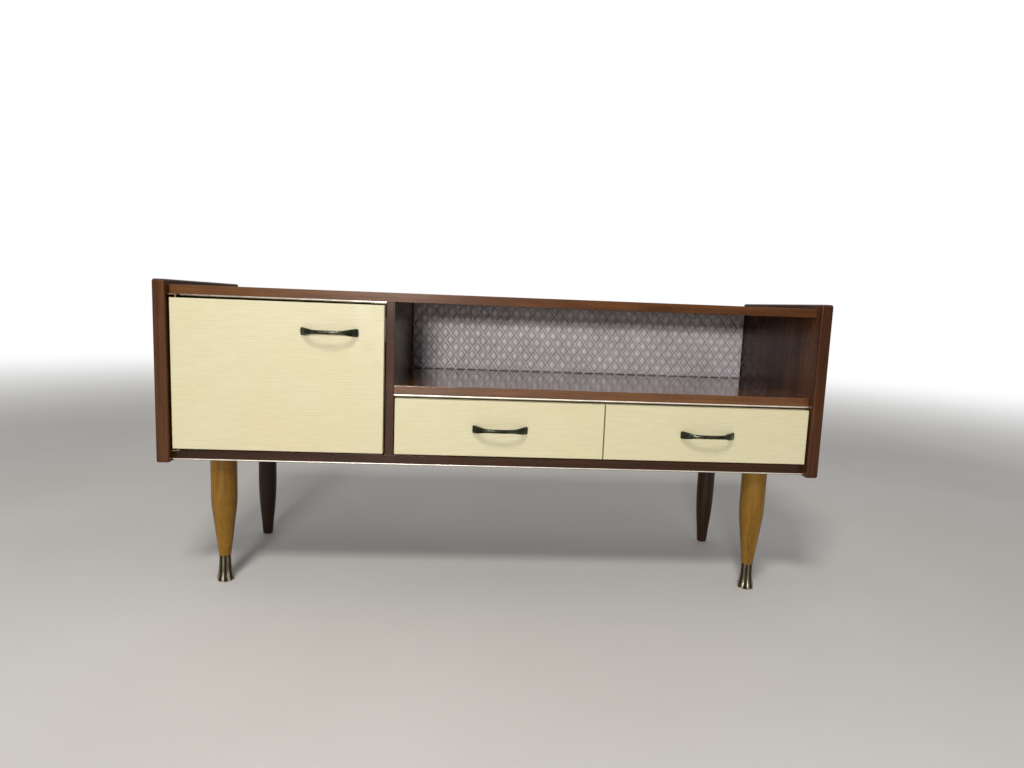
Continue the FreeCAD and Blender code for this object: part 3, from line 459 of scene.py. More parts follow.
@dataclass(frozen=True)
class Hardboard(Finish):
    """Brown pressed fibre sheet, speckled, with a faint screen pattern."""

    dark: Colour = shade(92, 60, 36)
    light: Colour = shade(142, 100, 62)

    def inputs(self, recipe: Recipe) -> dict[str, Value]:
        """Fibres that lie every way, and a screen print."""
        fibre = recipe.noise(260.0, 4.0, 0.7, 0.8)
        cloud = recipe.noise(7.0)
        screen = recipe.add("ShaderNodeTexVoronoi", {}, {
            "Vector": recipe.place(430.0), "Scale": 1.0})
        tone = fibre * 0.7 + cloud * 0.3
        return {
            "Base Color": recipe.ramp(tone, (0.38, self.dark), (0.62, self.light)),
            "Roughness": cloud.band(0.3, 0.7, 0.5, 0.68),
            "Normal": recipe.relief(fibre * 0.5 + screen * 0.5, 0.2, 0.4)}


@dataclass(frozen=True)
class MouldedPlastic(Finish):
    """Moulded plastic with a fine spark-eroded skin."""

    colour: Colour = shade(232, 226, 206)
    grubby: Colour = shade(196, 184, 150)

    def inputs(self, recipe: Recipe) -> dict[str, Value]:
        """A fine skin, a little yellowed in patches."""
        skin = recipe.noise(1500.0, 2.0)
        cloud = recipe.noise(60.0).band(0.4, 0.75)
        return {
            "Base Color": recipe.mix(cloud * 0.5, self.colour, self.grubby),
            "Roughness": skin.band(0.2, 0.8, 0.38, 0.5),
            "Normal": recipe.relief(skin, 0.08, 0.4)}


@dataclass(frozen=True)
class PaleFloor(Finish):
    """A plain pale floor, a little uneven in tone."""

    ground: Colour = shade(226, 223, 219)
    cloudy: Colour = shade(218, 215, 210)
    fade: tuple[float, float] = (1.6, 5.5)

    def inputs(self, recipe: Recipe) -> dict[str, Value]:
        """A matt surface, which fades far away into the white background."""
        cloud = recipe.noise(1.3, 4.0)
        away = recipe.add("ShaderNodeVectorMath", {"operation": "LENGTH"},
                          {0: recipe.place((1.0, 1.0, 0.0))}, "Value")
        glow = recipe.add("ShaderNodeEmission", {}, {"Color": WHITE})
        both = recipe.add("ShaderNodeMixShader", {}, {
            0: away.band(*self.fade) * recipe.ray("Is Camera Ray"),
            1: recipe.shader.outputs[0], 2: glow})
        recipe.tree.links.new(both.socket, recipe.output.inputs["Surface"])
        return {
            "Base Color": recipe.mix(cloud.band(0.3, 0.7), self.ground, self.cloudy),
            "Roughness": cloud.band(0.0, 1.0, 0.55, 0.62), "Specular IOR Level": 0.2}


class Finishes:
    """Every finish of the cabinet, made once."""

    def __init__(self) -> None:
        """Makes the materials."""
        self.across = Veneer("veneer_across", Run.ACROSS, shade(46, 22, 10),
                             shade(90, 54, 27), shade(124, 82, 43)).make()
        self.polished = Veneer("polished_veneer", Run.ACROSS, shade(54, 29, 12),
                               shade(104, 64, 30), shade(142, 96, 46), 0.07, 0.9).make()
        self.upright = Veneer("veneer_upright", Run.UPRIGHT).make()
        # The bottom board's darker veneer is partly its own darker tone and partly painted shade
        # under the proud fronts.
        self.shaded = Veneer("bottom_veneer_dark_and_painted_shade", Run.ACROSS, shade(26, 12, 6),
                             shade(51, 28, 14), shade(76, 46, 24)).make()
        self.cream = RibbedCream("cream_ribbed_facing").make()
        self.quilt = QuiltedVinyl("quilted_vinyl").make()
        # The bead's near-white colour at low metallic is partly brass and partly painted
        # highlight.
        self.trim = WornMetal("brass_trim_and_painted_highlight", shade(255, 248, 236), shade(226, 212, 182),
                              Run.ACROSS, 0.3, 0.2, 0.45).make()
        # The leg's darker finish is painted shade and painted dark reflection under the bead.
        self.trim_leg_painted_shade = WornMetal("trim_leg_painted_shade_finish", shade(118, 112, 90), shade(52, 50, 36),
                                  Run.ACROSS, 0.35, 0.6).make()
        self.hinge = WornMetal("tarnished_brass", shade(150, 134, 98), shade(76, 64, 42),
                               Run.DEEP, 0.35, 0.7).make()
        self.bronze = WornMetal("dark_bronze", shade(80, 82, 68), shade(14, 14, 9),
                                Run.ACROSS, 0.25, 0.8, 0.9).make()
        self.brass = FoldedBrass("aged_brass").make()
        self.honey = TurnedWood("honey_turned_wood", shade(86, 54, 14), shade(124, 88, 24),
                                shade(148, 112, 38)).make()
        # The rear legs' wood is partly darker of its own and partly painted shade under the case.
        self.dark_leg = TurnedWood("rear_wood_dark_and_painted_shade", shade(24, 12, 7), shade(44, 24, 12),
                                   shade(64, 37, 19)).make()
        self.drawer = PlainWood("drawer_wood", Run.DEEP).make()
        self.drawer_across = PlainWood("drawer_wood_across", Run.ACROSS).make()
        self.board = Hardboard("hardboard").make()
        self.steel = WornMetal("bright_steel", shade(196, 196, 198), shade(120, 112, 104),
                               Run.DEEP, 0.3, 0.5).make()
        self.plastic = MouldedPlastic("catch_plastic").make()
        self.floor = PaleFloor("pale_floor").make()


# Hand tools


class Bench:
    """Shapes one new piece with the hand tools of edit mode."""

    def __init__(self, name: str, add: Callable[..., Any],
                 stretch: Triple = (1.0, 1.0, 1.0), **settings: Any) -> None:
        """Adds a primitive at its place and starts to shape it.

        Args:
            name: The piece's name.
            add: The operator that adds the primitive.
            stretch: How the primitive is stretched on each axis.
            settings: The primitive's own settings.
        """
        bpy.ops.object.select_all(action="DESELECT")
        add(**settings)
        self.piece = bpy.context.object
        self.piece.name = self.piece.data.name = name
        self.piece.scale = stretch
        bpy.ops.object.transform_apply()
        bpy.context.tool_settings.mesh_select_mode = Pick.POINTS.value
        bpy.ops.object.mode_set(mode="EDIT")

    def pick(self, kind: Pick, test: Callable[[Vector, Vector], bool]) -> int:
        """Selects only the points, edges or faces that pass a test.

        Args:
            kind: What is selected.
            test: Takes the middle and the normal of each one.

        Returns:
            How many were selected.
        """
        bpy.ops.mesh.select_all(action="DESELECT")
        bpy.context.tool_settings.mesh_select_mode = kind.value
        mesh = bmesh.from_edit_mesh(self.piece.data)
        mesh.normal_update()
        if kind is Pick.POINTS:
            parts = [(point, point.co, point.normal) for point in mesh.verts]
        elif kind is Pick.EDGES:
            parts = [(edge, (edge.verts[0].co + edge.verts[1].co) / 2,
                      (edge.verts[1].co - edge.verts[0].co).normalized()) for edge in mesh.edges]
        else:
            parts = [(face, face.calc_center_median(), face.normal) for face in mesh.faces]
        chosen = [part for part, centre, normal in parts if test(centre, normal)]
        for part in chosen:
            part.select_set(True)
        mesh.select_flush_mode()
        bmesh.update_edit_mesh(self.piece.data)
        return len(chosen)

    def everything(self) -> "Bench":
        """Selects the whole piece."""
        bpy.ops.mesh.select_all(action="SELECT")
        return self

    def pull(self, offset: Triple) -> "Bench":
        """Extrudes what is selected by an offset."""
        bpy.ops.mesh.extrude_region_move(TRANSFORM_OT_translate={"value": tuple(offset)})
        return self

    def move(self, offset: Triple) -> "Bench":
        """Moves what is selected."""
        bpy.ops.transform.translate(value=tuple(offset))
        return self

    def resize(self, factor: Triple, about: Triple) -> "Bench":
        """Scales what is selected about a point."""
        bpy.ops.transform.resize(value=tuple(factor), center_override=tuple(about))
        return self

    def inset(self, width: float) -> "Bench":
        """Insets the selected faces."""
        bpy.ops.mesh.inset(thickness=width)
        return self

    def close(self) -> "Bench":
        """Fills the open loop that is selected."""
        bpy.ops.mesh.edge_face_add()
        return self

    def soften(self) -> "Bench":
        """Subdivides the piece once with a modifier, which is applied."""
        bpy.ops.object.mode_set(mode="OBJECT")
        modifier = self.piece.modifiers.new("Subdivision", "SUBSURF")
        modifier.levels = modifier.render_levels = 1
        bpy.ops.object.modifier_apply(modifier=modifier.name)
        bpy.ops.object.mode_set(mode="EDIT")
        return self

    def done(self, angle: float = 40.0) -> Piece:
        """Turns the faces outwards, smooths the piece and ends its shaping.

        Args:
            angle: Edges sharper than this many degrees stay crisp.

        Returns:
            The piece.
        """
        self.everything()
        bpy.ops.mesh.remove_doubles(threshold=MERGED)
        bpy.ops.mesh.normals_make_consistent()
        bpy.ops.object.mode_set(mode="OBJECT")
        bpy.ops.object.shade_smooth_by_angle(angle=math.radians(angle))
        return self.piece


def middle(node: str) -> Vector:
    """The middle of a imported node's box."""
    low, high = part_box(node)
    return (low + high) / 2


def block(name: str, node: str, room: float = 0.0) -> Bench:
    """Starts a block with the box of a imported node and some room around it."""
    low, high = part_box(node)
    return Bench(name, bpy.ops.mesh.primitive_cube_add,
                 [length + 2 * room for length in high - low], size=1.0,
                 location=tuple(middle(node)))


def choose(*pieces: Piece) -> None:
    """Selects only these pieces and makes the first one active."""
    bpy.ops.object.select_all(action="DESELECT")
    for piece in pieces:
        piece.select_set(True)
    bpy.context.view_layer.objects.active = pieces[0]


def another(piece: Piece, name: str, offset: Triple) -> Piece:
    """Copies a finished piece, with its own mesh, to another place.

    Args:
        piece: The piece to copy.
        name: The copy's name.
        offset: How far it is moved.

    Returns:
        The copy, its object at the origin.
    """
    choose(piece)
    bpy.ops.object.duplicate()
    twin = bpy.context.object
    twin.name = twin.data.name = name
    twin.location = offset
    bpy.ops.object.transform_apply()
    return twin


def join(pieces: Sequence[Piece]) -> Piece:
    """Joins pieces into the first one."""
    choose(*pieces)
    bpy.ops.object.join()
    return pieces[0]


def dress(material: Material, *nodes: str) -> None:
    """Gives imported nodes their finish."""
    for name in nodes:
        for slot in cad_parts[name].material_slots:
            slot.material = material


def mount(piece: Piece, material: Material, body: str, slot: str, *nodes: str) -> Piece:
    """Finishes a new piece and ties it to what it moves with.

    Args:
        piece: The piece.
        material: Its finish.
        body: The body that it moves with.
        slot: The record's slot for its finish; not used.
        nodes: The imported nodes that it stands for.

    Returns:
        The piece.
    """
    piece.data.materials.clear()
    piece.data.materials.append(material)
    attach(piece, body)
    if nodes:
        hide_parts(*nodes)
    return piece


# Sub-assemblies


@dataclass
class Assembly:
    """A sub-assembly: the finishes it is dressed in and the pieces it adds."""

    finishes: Finishes
    pieces: list[Piece] = field(default_factory=list, init=False)

    def build(self) -> None:
        """Adds its pieces."""
        raise NotImplementedError

    def _include(self, *kinds: type["Assembly"]) -> None:
        """Builds smaller sub-assemblies and takes their pieces over."""
        for kind in kinds:
            smaller = kind(self.finishes)
            smaller.build()
            self.pieces += smaller.pieces

    def _repeat(self, first: Piece, ending: str, nodes: Sequence[str]) -> None:
        """Copies a piece to the places of other nodes.

        Args:
            first: The piece, which stands for the first node.
            ending: What the copies' names end in.
            nodes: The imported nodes.
        """
        self.pieces.append(first)
        for node in nodes[1:]:
            offset = middle(node) - middle(nodes[0])
            self.pieces.append(another(first, f"{node}_{ending}", offset))

    def report(self) -> None:
        """Logs the pieces that it added."""
        for piece in self.pieces:
            log.info("%s: %s has %d faces", type(self).__name__, piece.name,
                     len(piece.data.polygons))


@dataclass
class QuiltedPanel(Assembly):
    """The padded panel at the back of the open compartment."""

    columns: int = 31
    half_rows: int = 9
    steps: int = 7
    crown: float = 5.0 * MILLIMETRE
    flatness: float = 2.6
    fullness: float = 0.55
    edge_slope: float = 4.0
    pucker: float = 0.35 * MILLIMETRE
    waves: Sequence[tuple[float, float]] = ((9.1, 4.3), (-3.1, 5.7))

    def _pillow(self, across: float, up: float) -> tuple[float, float]:
        """How high the padding stands, and how near a weld it is.

        Args:
            across: The place in half columns.
            up: The place in half rows.

        Returns:
            The height from 0 to 1, and the nearness from 0 to 1.
        """
        rising, falling = (abs(place / 2 % 1.0 - 0.5) * 2 for place in (across + up, across - up))
        swell = (1 - rising ** self.flatness) * (1 - falling ** self.flatness)
        return max(swell, 0.0) ** self.fullness, max(rising, falling)

    def build(self) -> None:
        """Builds the welded diamonds as one closed sheet of padding."""
        low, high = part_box("quilted_back_panel")
        centre = (low + high) / 2
        half_columns = 2 * self.columns
        weld_plane = low.y + self.crown
        bench = Bench("quilted_back_panel_padding", bpy.ops.mesh.primitive_grid_add,
                      (high.x - low.x, high.z - low.z, 1.0),
                      x_subdivisions=half_columns * self.steps,
                      y_subdivisions=self.half_rows * self.steps, size=1.0)
        bench.everything()
        bpy.ops.transform.rotate(value=-QUARTER_TURN, orient_axis="X", center_override=NOWHERE)
        bench.move((centre.x, weld_plane, centre.z))
        mesh = bmesh.from_edit_mesh(bench.piece.data)
        weld = mesh.verts.layers.float.new("weld")
        for point in mesh.verts:
            across = (point.co.x - low.x) / (high.x - low.x) * half_columns
            up = (point.co.z - low.z) / (high.z - low.z) * self.half_rows
            height, near = self._pillow(across, up)
            edge = min(up, self.half_rows - up, across, half_columns - across)
            height *= min(1.0, edge * self.edge_slope)
            wrinkle = math.prod(math.sin(level * across + rise * up) for level, rise in self.waves)
            point.co.y = weld_plane - height * self.crown + self.pucker * wrinkle * near * height
            point[weld] = near
        bmesh.update_edit_mesh(bench.piece.data)
        bpy.context.tool_settings.mesh_select_mode = Pick.EDGES.value
        bpy.ops.mesh.select_all(action="DESELECT")
        bpy.ops.mesh.select_non_manifold()
        bench.pull((0.0, high.y - weld_plane, 0.0))
        bench.resize((1.0, 0.0, 1.0), (centre.x, high.y, centre.z)).close()
        panel = bench.done(75.0)
        mount(panel, self.finishes.quilt, "cabinet", "quilted_vinyl", "quilted_back_panel")
        self.pieces.append(panel)


@dataclass
class BowHandle(Assembly):
    """A cast bow handle whose ends spread into ribbed fans.

    A station is its distance from the middle, how far it stands out, its height and its
    thickness, in millimetres.
    """

    places: Sequence[tuple[str, str]] = (
        ("door_handle", "door"), ("left_drawer_handle", "left_drawer"),
        ("right_drawer_handle", "right_drawer"))
    sides: int = 24
    stations: Sequence[tuple[float, float, float, float]] = (
        (50.0, 3.6, 11.6, 3.0), (49.3, 3.5, 13.8, 5.6), (47.0, 4.6, 14.6, 6.2),
        (43.0, 9.2, 13.8, 6.4), (38.5, 12.8, 12.2, 6.2), (34.0, 15.4, 10.6, 6.0),
        (29.5, 17.3, 8.8, 5.8), (27.5, 18.0, 8.0, 5.8), (22.0, 19.3, 7.2, 5.8),
        (15.0, 20.3, 7.0, 6.0), (7.0, 20.9, 7.0, 6.0), (0.0, 21.0, 7.0, 6.0))
    ribs_start: float = 27.0 * MILLIMETRE
    ribs_full: float = 30.0 * MILLIMETRE
    last_groove: int = 5
    groove: float = 0.76
    pinch: float = 0.98
    post_place: float = 40.0 * MILLIMETRE
    post_radius: float = 3.6 * MILLIMETRE
    post_length: float = 10.0 * MILLIMETRE
    post_taper: float = 0.86
    post_rim: float = 0.6 * MILLIMETRE

    def _loops(self) -> list[tuple[float, float, float, float]]:
        """The stations from the left tip to the right one, in metres."""
        left = [(-span, *rest) for span, *rest in self.stations]
        right = list(reversed(self.stations[:-1]))
        return [tuple(value * MILLIMETRE for value in loop) for loop in left + right]

    def _cast(self, node: str) -> Piece:
        """Models one handle from its left tip to its right one.

        Args:
            node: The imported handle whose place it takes.

        Returns:
            The handle without its posts.
        """
        centre = middle(node)
        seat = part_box(node)[1].y
        loops = self._loops()
        span, reach, tall, thick = loops[0]
        bench = Bench(f"{node}_casting", bpy.ops.mesh.primitive_circle_add, vertices=self.sides,
                      radius=0.5, fill_type="NGON", rotation=(0.0, QUARTER_TURN, 0.0))
        bench.everything().resize((1.0, thick, tall), NOWHERE)
        bench.move((centre.x + span, seat - reach, centre.z))
        for before, after in zip(loops, loops[1:]):
            bench.pull((after[0] - before[0], before[1] - after[1], 0.0))
            bench.resize((1.0, after[3] / before[3], after[2] / before[2]),
                         (centre.x + after[0], seat - after[1], centre.z))
        self._cut_grooves(bench, centre, seat)
        return bench.soften().done(60.0)

    def _cut_grooves(self, bench: Bench, centre: Vector, seat: float) -> None:
        """Sinks the grooves between the ribs of each fan.

        Args:
            bench: The handle on the bench.
            centre: The middle of the handle.
            seat: Where the front of the door or drawer is.
        """
        spacing = math.tau / self.sides
        for span, reach, tall, thick in self._loops():
            if abs(span) < self.ribs_start:
                continue
            axis = seat - reach

            def in_groove(point: Vector, _: Vector) -> bool:
                """Whether a point of this loop lies between two ribs."""
                if abs(point.x - centre.x - span) > NEAR:
                    return False
                angle = math.atan2((point.z - centre.z) / tall, (axis - point.y) / thick)
                step = round(angle / spacing)
                return abs(step) <= self.last_groove and step % 2 != 0

            depth = self.groove if abs(span) > self.ribs_full else (1 + self.groove) / 2
            if bench.pick(Pick.POINTS, in_groove):
                bench.resize((1.0, depth, self.pinch),
                             (centre.x + span, axis + thick / 4, centre.z))

    def _posts(self, node: str) -> list[Piece]:
        """The two posts that carry a handle off its front.

        Args:
            node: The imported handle.

        Returns:
            The posts.
        """
        centre = middle(node)
        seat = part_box(node)[1].y
        posts = []
        for across in (centre.x - self.post_place, centre.x + self.post_place):
            bench = Bench(f"{node}_post", bpy.ops.mesh.primitive_cylinder_add,
                          vertices=self.sides, radius=self.post_radius, depth=self.post_length,
                          location=(across, seat - self.post_length / 2, centre.z),
                          rotation=(QUARTER_TURN, 0.0, 0.0))
            bench.pick(Pick.FACES, lambda point, normal: normal.y < -FACING)
            bench.resize((self.post_taper, 1.0, self.post_taper), (across, 0.0, centre.z))
            bench.pick(Pick.FACES, lambda point, normal: normal.y > FACING)
            posts.append(bench.inset(self.post_rim).done())
        return posts

    def build(self) -> None:
        """Models the first handle and copies it to the others."""
        nodes = [node for node, _ in self.places]
        first = join([self._cast(nodes[0]), *self._posts(nodes[0])])
        self._repeat(first, "casting", nodes)
        for piece, (node, body) in zip(self.pieces, self.places):
            mount(piece, self.finishes.bronze, body, "dark_bronze", node)


@dataclass
class TulipFerrule(Assembly):
    """A fluted metal cup at the foot of a front leg.

    A station is its height and its width, in millimetres, and how deep its folds are.
    """

    nodes: Sequence[str] = ("front_left_ferrule", "front_right_ferrule")
    lobes: int = 8
    points_per_lobe: int = 8
    stations: Sequence[Triple] = (
        (0.0, 27.0, 0.055), (0.5, 29.4, 0.07), (2.8, 32.0, 0.085), (6.0, 31.2, 0.08),
        (9.0, 29.6, 0.075), (12.0, 27.7, 0.07), (17.0, 25.4, 0.062), (23.0, 23.7, 0.055),
        (29.0, 22.6, 0.05), (35.0, 21.9, 0.045), (42.0, 21.5, 0.04), (48.0, 21.2, 0.03),
        (49.4, 21.2, 0.02), (50.0, 20.6, 0.015))
    fold_sharpness: float = 1.6
    bore: float = 15.4
    bore_depth: float = 8.0 * MILLIMETRE
    sole_rim: float = 3.5 * MILLIMETRE
    sole_rise: float = 1.2 * MILLIMETRE

    def _sink_folds(self, bench: Bench, foot: Vector) -> None:
        """Draws the folds between the lobes in, most of all at the foot.

        Args:
            bench: The ferrule on the bench.
            foot: The middle of its sole.
        """
        half = self.points_per_lobe // 2
        turn = math.tau / (self.lobes * self.points_per_lobe)
        for step in range(1, half + 1):
            share = (1 - math.cos(math.pi * step / half)) / 2
            for height, _, depth in self.stations:
                level = foot.z + height * MILLIMETRE

                def on_step(point: Vector, _: Vector) -> bool:
                    """Whether a point is this far from its lobe's crest."""
                    if abs(point.z - level) > NEAR:
                        return False
                    count = round(math.atan2(point.y - foot.y, point.x - foot.x) / turn)
                    place = count % self.points_per_lobe
                    return min(place, self.points_per_lobe - place) == step

                bench.pick(Pick.POINTS, on_step)
                factor = 1 - 2 * depth * share ** self.fold_sharpness
                bench.resize((factor, factor, 1.0), (foot.x, foot.y, level))

    def model(self, node: str) -> Piece:
        """Models one ferrule upwards from its sole.

        Args:
            node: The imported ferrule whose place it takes.

        Returns:
            The ferrule, with a measure of how deep each point lies in a fold.
        """
        foot = middle(node)
        foot.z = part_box(node)[0].z
        bench = Bench(f"{node}_cup", bpy.ops.mesh.primitive_circle_add,
                      vertices=self.lobes * self.points_per_lobe,
                      radius=self.stations[0][1] * MILLIMETRE / 2, location=tuple(foot))
        bench.everything()
        for before, after in zip(self.stations, self.stations[1:]):
            bench.pull((0.0, 0.0, (after[0] - before[0]) * MILLIMETRE))
            factor = after[1] / before[1]
            bench.resize((factor, factor, 1.0), (foot.x, foot.y, foot.z + after[0] * MILLIMETRE))
        inner = self.bore / self.stations[-1][1]
        bench.pull(NOWHERE).resize((inner, inner, 1.0), foot)
        bench.pull((0.0, 0.0, -self.bore_depth)).close()
        self._sink_folds(bench, foot)
        bench.pick(Pick.EDGES, lambda point, _: point.z < foot.z + NEAR)
        bench.close().inset(self.sole_rim).move((0.0, 0.0, self.sole_rise))
        cup = bench.soften().done(50.0)
        fold = cup.data.attributes.new("fold", "FLOAT", "POINT")
        for point, value in zip(cup.data.vertices, fold.data):
            angle = math.atan2(point.co.y - foot.y, point.co.x - foot.x)
            value.value = (1 - math.cos(angle * self.lobes)) / 2
        return cup

    def build(self) -> None:
        """Models the first ferrule and copies it to the other."""
        self._repeat(self.model(self.nodes[0]), "cup", self.nodes)
        for piece, node in zip(self.pieces, self.nodes):
            mount(piece, self.finishes.brass, "cabinet", "brass_ferrule", node)


@dataclass
class TrimStrips(Assembly):
    """The beaded metal strips along the front edges of the boards."""

    nodes: Sequence[str] = ("trim_strip_top", "trim_strip_shelf", "trim_strip_bottom")
    leg_share: float = 0.42
    rebate: float = 2.4 * MILLIMETRE
    ledge: float = 0.1 * MILLIMETRE
    room: float = 0.2 * MILLIMETRE
    rounding: float = 0.5 * MILLIMETRE
    round_steps: int = 4

    def _leg_top(self, node: str) -> float:
        """The height where a strip's leg ends, under the ledge of its bead."""
        low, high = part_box(node)
        return low.z + (high.z - low.z) * self.leg_share - self.ledge

    def model(self, node: str) -> Piece:
        """Models one strip, its round bead proud of the leg below it.

        Args:
            node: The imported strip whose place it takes.

        Returns:
            The strip.
        """
        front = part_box(node)[0].y
        leg_top = self._leg_top(node)
        bench = block(f"{node}_moulding", node)
        for level in (leg_top + self.ledge, leg_top):
            bench.everything()
            bpy.ops.mesh.bisect(plane_co=(0.0, 0.0, level), plane_no=(0.0, 0.0, 1.0))
        bench.pick(Pick.FACES, lambda point, normal: normal.y < -FACING and point.z < leg_top)
        bench.move((0.0, self.rebate, 0.0))
        bench.pick(Pick.EDGES, lambda point, along: abs(along.x) > FACING
                   and abs(point.y - front) < NEAR)
        bpy.ops.mesh.bevel(offset=self.rounding, segments=self.round_steps, affect="EDGES")
        return bench.done(50.0)

    def _clear_plate(self, strip: Piece, plate: str) -> None:
        """Notches a strip around a packed plate that it passes."""
        cutter = block("cutter", plate, self.room).done()
        choose(strip)
        notch = strip.modifiers.new("Notch", "BOOLEAN")
        notch.object = cutter
        bpy.ops.object.modifier_apply(modifier=notch.name)
        bpy.data.objects.remove(cutter)

    def build(self) -> None:
        """Models every strip."""
        for node in self.nodes:
            strip = self.model(node)
            if node == "trim_strip_top":
                self._clear_plate(strip, "upper_pivot_plate")
            self.pieces.append(mount(strip, self.finishes.trim, "cabinet", "brass_trim", node))
            # Faces below the bead take the darker finish: painted shade.
            strip.data.materials.append(self.finishes.trim_leg_painted_shade)
            leg_top = self._leg_top(node)
            for face in strip.data.polygons:
                face.material_index = int(face.center.z < leg_top)


@dataclass
class BackPins(Assembly):
    """The round-headed pins that hold the hardboard back."""

    radius: float = 2.6 * MILLIMETRE
    sides: int = 12
    thickness: float = 0.7 * MILLIMETRE
    rim_share: float = 0.4
    dome: float = 0.4 * MILLIMETRE
    inset: float = 8.0 * MILLIMETRE
    divider_room: float = 50.0 * MILLIMETRE
    across: int = 9
    upright: int = 3

    def _places(self) -> list[tuple[float, float]]:
        """The pins' places on the back, across and up."""
        low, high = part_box("back_board")
        left, right = low.x + self.inset, high.x - self.inset
        below, above = low.z + self.inset, high.z - self.inset
        level = [left + (right - left) * step / (self.across - 1) for step in range(self.across)]
        rise = [below + (above - below) * step / (self.upright + 1)
                for step in range(1, self.upright + 1)]
        divider = middle("centre_divider").x
        rows = [(x, z) for z in (below, above) for x in level]
        sides = [(x, z) for x in (left, right, divider) for z in rise]
        shelf = middle("shelf_board").z
        return rows + sides + [(x, shelf) for x in level if x > divider + self.divider_room][:-1]

    def build(self) -> None:
        """Models one pin and copies it over the back."""
        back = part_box("back_board")[1].y
        places = self._places()
        x, z = places[0]
        bench = Bench("back_board_pins", bpy.ops.mesh.primitive_cylinder_add,
                      vertices=self.sides, radius=self.radius, depth=self.thickness,
                      location=(x, back + self.thickness / 2, z),
                      rotation=(QUARTER_TURN, 0.0, 0.0))
        bench.pick(Pick.FACES, lambda point, normal: normal.y > FACING)
        bench.inset(self.radius * self.rim_share).move((0.0, self.dome, 0.0))
        first = bench.done(60.0)
        pins = [another(first, "pin", (across - x, 0.0, up - z)) for across, up in places[1:]]
        self.pieces.append(mount(join([first, *pins]), self.finishes.steel, "cabinet", "steel"))


@dataclass
class Case(Assembly):
    """The veneered case with its back, trims, padding and runners."""

    def build(self) -> None:
        """Dresses the boards and adds what the case carries."""
        dress(self.finishes.upright, "left_end_panel", "right_end_panel", "centre_divider",
              "drawer_partition")
        dress(self.finishes.across, "top_board")
        dress(self.finishes.shaded, "bottom_board")
        dress(self.finishes.polished, "shelf_board")
        dress(self.finishes.drawer_across, "carcass_dowels")
        dress(self.finishes.board, "back_board")
        dress(self.finishes.drawer, "drawer_runners")
        dress(self.finishes.hinge, "lower_pivot_plate", "upper_pivot_plate")
        dress(self.finishes.plastic, "magnetic_catch")
        self._include(QuiltedPanel, TrimStrips, BackPins)


@dataclass
class Legs(Assembly):
    """Two honey front legs in metal cups and two dark rear legs, their darkness partly painted
    shade.
    """

    def build(self) -> None:
        """Dresses the turned legs and their plates and adds the cups."""
        dress(self.finishes.honey, "front_left_leg", "front_right_leg")
        dress(self.finishes.dark_leg, "rear_left_leg", "rear_right_leg")
        plates = [f"{place}_leg_plate" for place in
                  ("front_left", "front_right", "rear_left", "rear_right")]
        dress(self.finishes.steel, *plates, "leg_studs", "leg_plate_screws")
        self._include(TulipFerrule)


@dataclass
class Fronts(Assembly):
    """The side-hung door and the two drawers, with their handles."""

    def build(self) -> None:
        """Dresses the door and the drawers and adds the handles."""
        dress(self.finishes.cream, "door_panel")
        dress(self.finishes.hinge, "door_lower_pivot_leaf", "door_upper_pivot_leaf")
        dress(self.finishes.steel, "door_handle_screws", "catch_strike_plate")
        for side in ("left_drawer", "right_drawer"):
            dress(self.finishes.cream, f"{side}_front")
            dress(self.finishes.drawer, f"{side}_left_side", f"{side}_right_side")
            dress(self.finishes.drawer_across, f"{side}_back")
            dress(self.finishes.board, f"{side}_bottom")
            dress(self.finishes.steel, f"{side}_handle_screws")
        self._include(BowHandle)


@dataclass(frozen=True)
class Lamp:
    """A soft rectangular lamp that looks at a point."""

    name: str
    place: Triple
    aim: Triple
    width: float
    height: float
    power: float
    colour: Triple

    def hang(self) -> None:
        """Hangs the lamp."""
        light = bpy.data.lights.new(self.name, "AREA")
        light.shape = "RECTANGLE"
        light.size = self.width
        light.size_y = self.height
        light.energy = self.power
        light.color = self.colour
        lamp = bpy.data.objects.new(self.name, light)
        lamp.location = self.place
        away = Vector(self.place) - Vector(self.aim)
        lamp.rotation_euler = away.to_track_quat("Z", "Y").to_euler()
        bpy.context.scene.collection.objects.link(lamp)


@dataclass(frozen=True)
class Viewpoint:
    """Where the camera stands and how it looks."""

    place: Triple = (-0.0436, -1.3365, 0.5404)
    yaw: float = 3.25
    pitch: float = 6.94
    roll: float = 2.20
    lens: float = 23.2
    nearest: float = 0.01

    def set_up(self) -> None:
        """Makes the scene's camera."""
        yaw, pitch, roll = (math.radians(angle) for angle in (self.yaw, self.pitch, self.roll))
        turn = (Matrix.Rotation(-yaw, 4, "Z") @ Matrix.Rotation(QUARTER_TURN - pitch, 4, "X")
                @ Matrix.Rotation(roll, 4, "Z"))
        camera = bpy.data.objects.new("camera", bpy.data.cameras.new("camera"))
        camera.data.lens = self.lens
        camera.data.clip_start = self.nearest
        camera.matrix_world = Matrix.Translation(self.place) @ turn
        bpy.context.scene.collection.objects.link(camera)
        bpy.context.scene.camera = camera


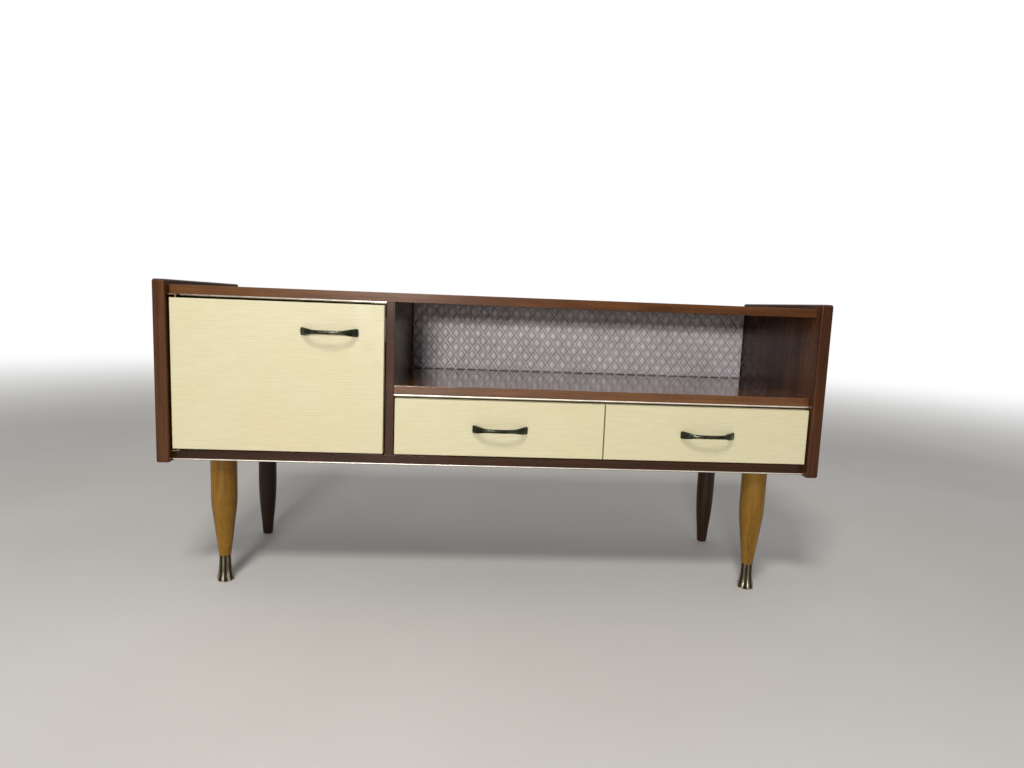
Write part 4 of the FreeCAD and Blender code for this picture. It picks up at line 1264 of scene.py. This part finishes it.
@dataclass
class Studio:
    """The floor, the lamps, the sky and the camera."""

    finishes: Finishes
    floor_size: float = 30.0
    sky: float = 0.29
    mirrored_wall: float = 0.2
    mirrored_ceiling: float = 0.9
    mirrored_rise: tuple[float, float] = (0.1, 0.75)

    def build(self) -> None:
        """Lays the floor, hangs the lamps and sets up the camera."""
        floor = Bench("studio_floor", bpy.ops.mesh.primitive_plane_add,
                      (self.floor_size, self.floor_size, 1.0), size=1.0).done()
        floor.data.materials.append(self.finishes.floor)
        lamps = [
            Lamp("window_lamp", (-0.68, -3.7, 1.0), (0.0, 0.0, 0.4), 0.6, 0.26, 64.0,
                 (1.0, 0.99, 0.975)),
            Lamp("ceiling_lamp", (-0.45, -1.9, 2.7), (0.0, 0.0, 0.35), 0.6, 0.5, 39.0,
                 (1.0, 0.985, 0.96)),
        ]
        for lamp in lamps:
            lamp.hang()
        self._make_sky()
        Viewpoint().set_up()
        bpy.context.scene.view_settings.view_transform = "Standard"
        log.info("studio: %d lamps", len(lamps))

    def _make_sky(self) -> None:
        """Makes the world white for the camera, soft for light, and a room in reflections."""
        world = bpy.data.worlds.new("studio_sky")
        bpy.context.scene.world = world
        nodes = Nodes(world)
        upward = nodes.part(nodes.add("ShaderNodeTexCoord", {}, {}, "Generated"), "Z")
        room = upward.band(*self.mirrored_rise, self.mirrored_wall, self.mirrored_ceiling)
        light = self.sky + nodes.ray("Is Glossy Ray") * (room - self.sky)
        seen = nodes.ray("Is Camera Ray")
        glow = nodes.add("ShaderNodeBackground", {}, {
            "Color": WHITE, "Strength": light + seen * (1 - light)})
        output = nodes.tree.nodes.new("ShaderNodeOutputWorld")
        nodes.tree.links.new(glow.socket, output.inputs["Surface"])


def main() -> None:
    """Builds and dresses the cabinet and its studio."""
    logging.basicConfig(level=logging.INFO, format="%(name)s: %(message)s")
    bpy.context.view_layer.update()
    finishes = Finishes()
    Studio(finishes).build()
    for assembly in (Case(finishes), Legs(finishes), Fronts(finishes)):
        assembly.build()
        assembly.report()


if __name__ == "__main__":
    main()
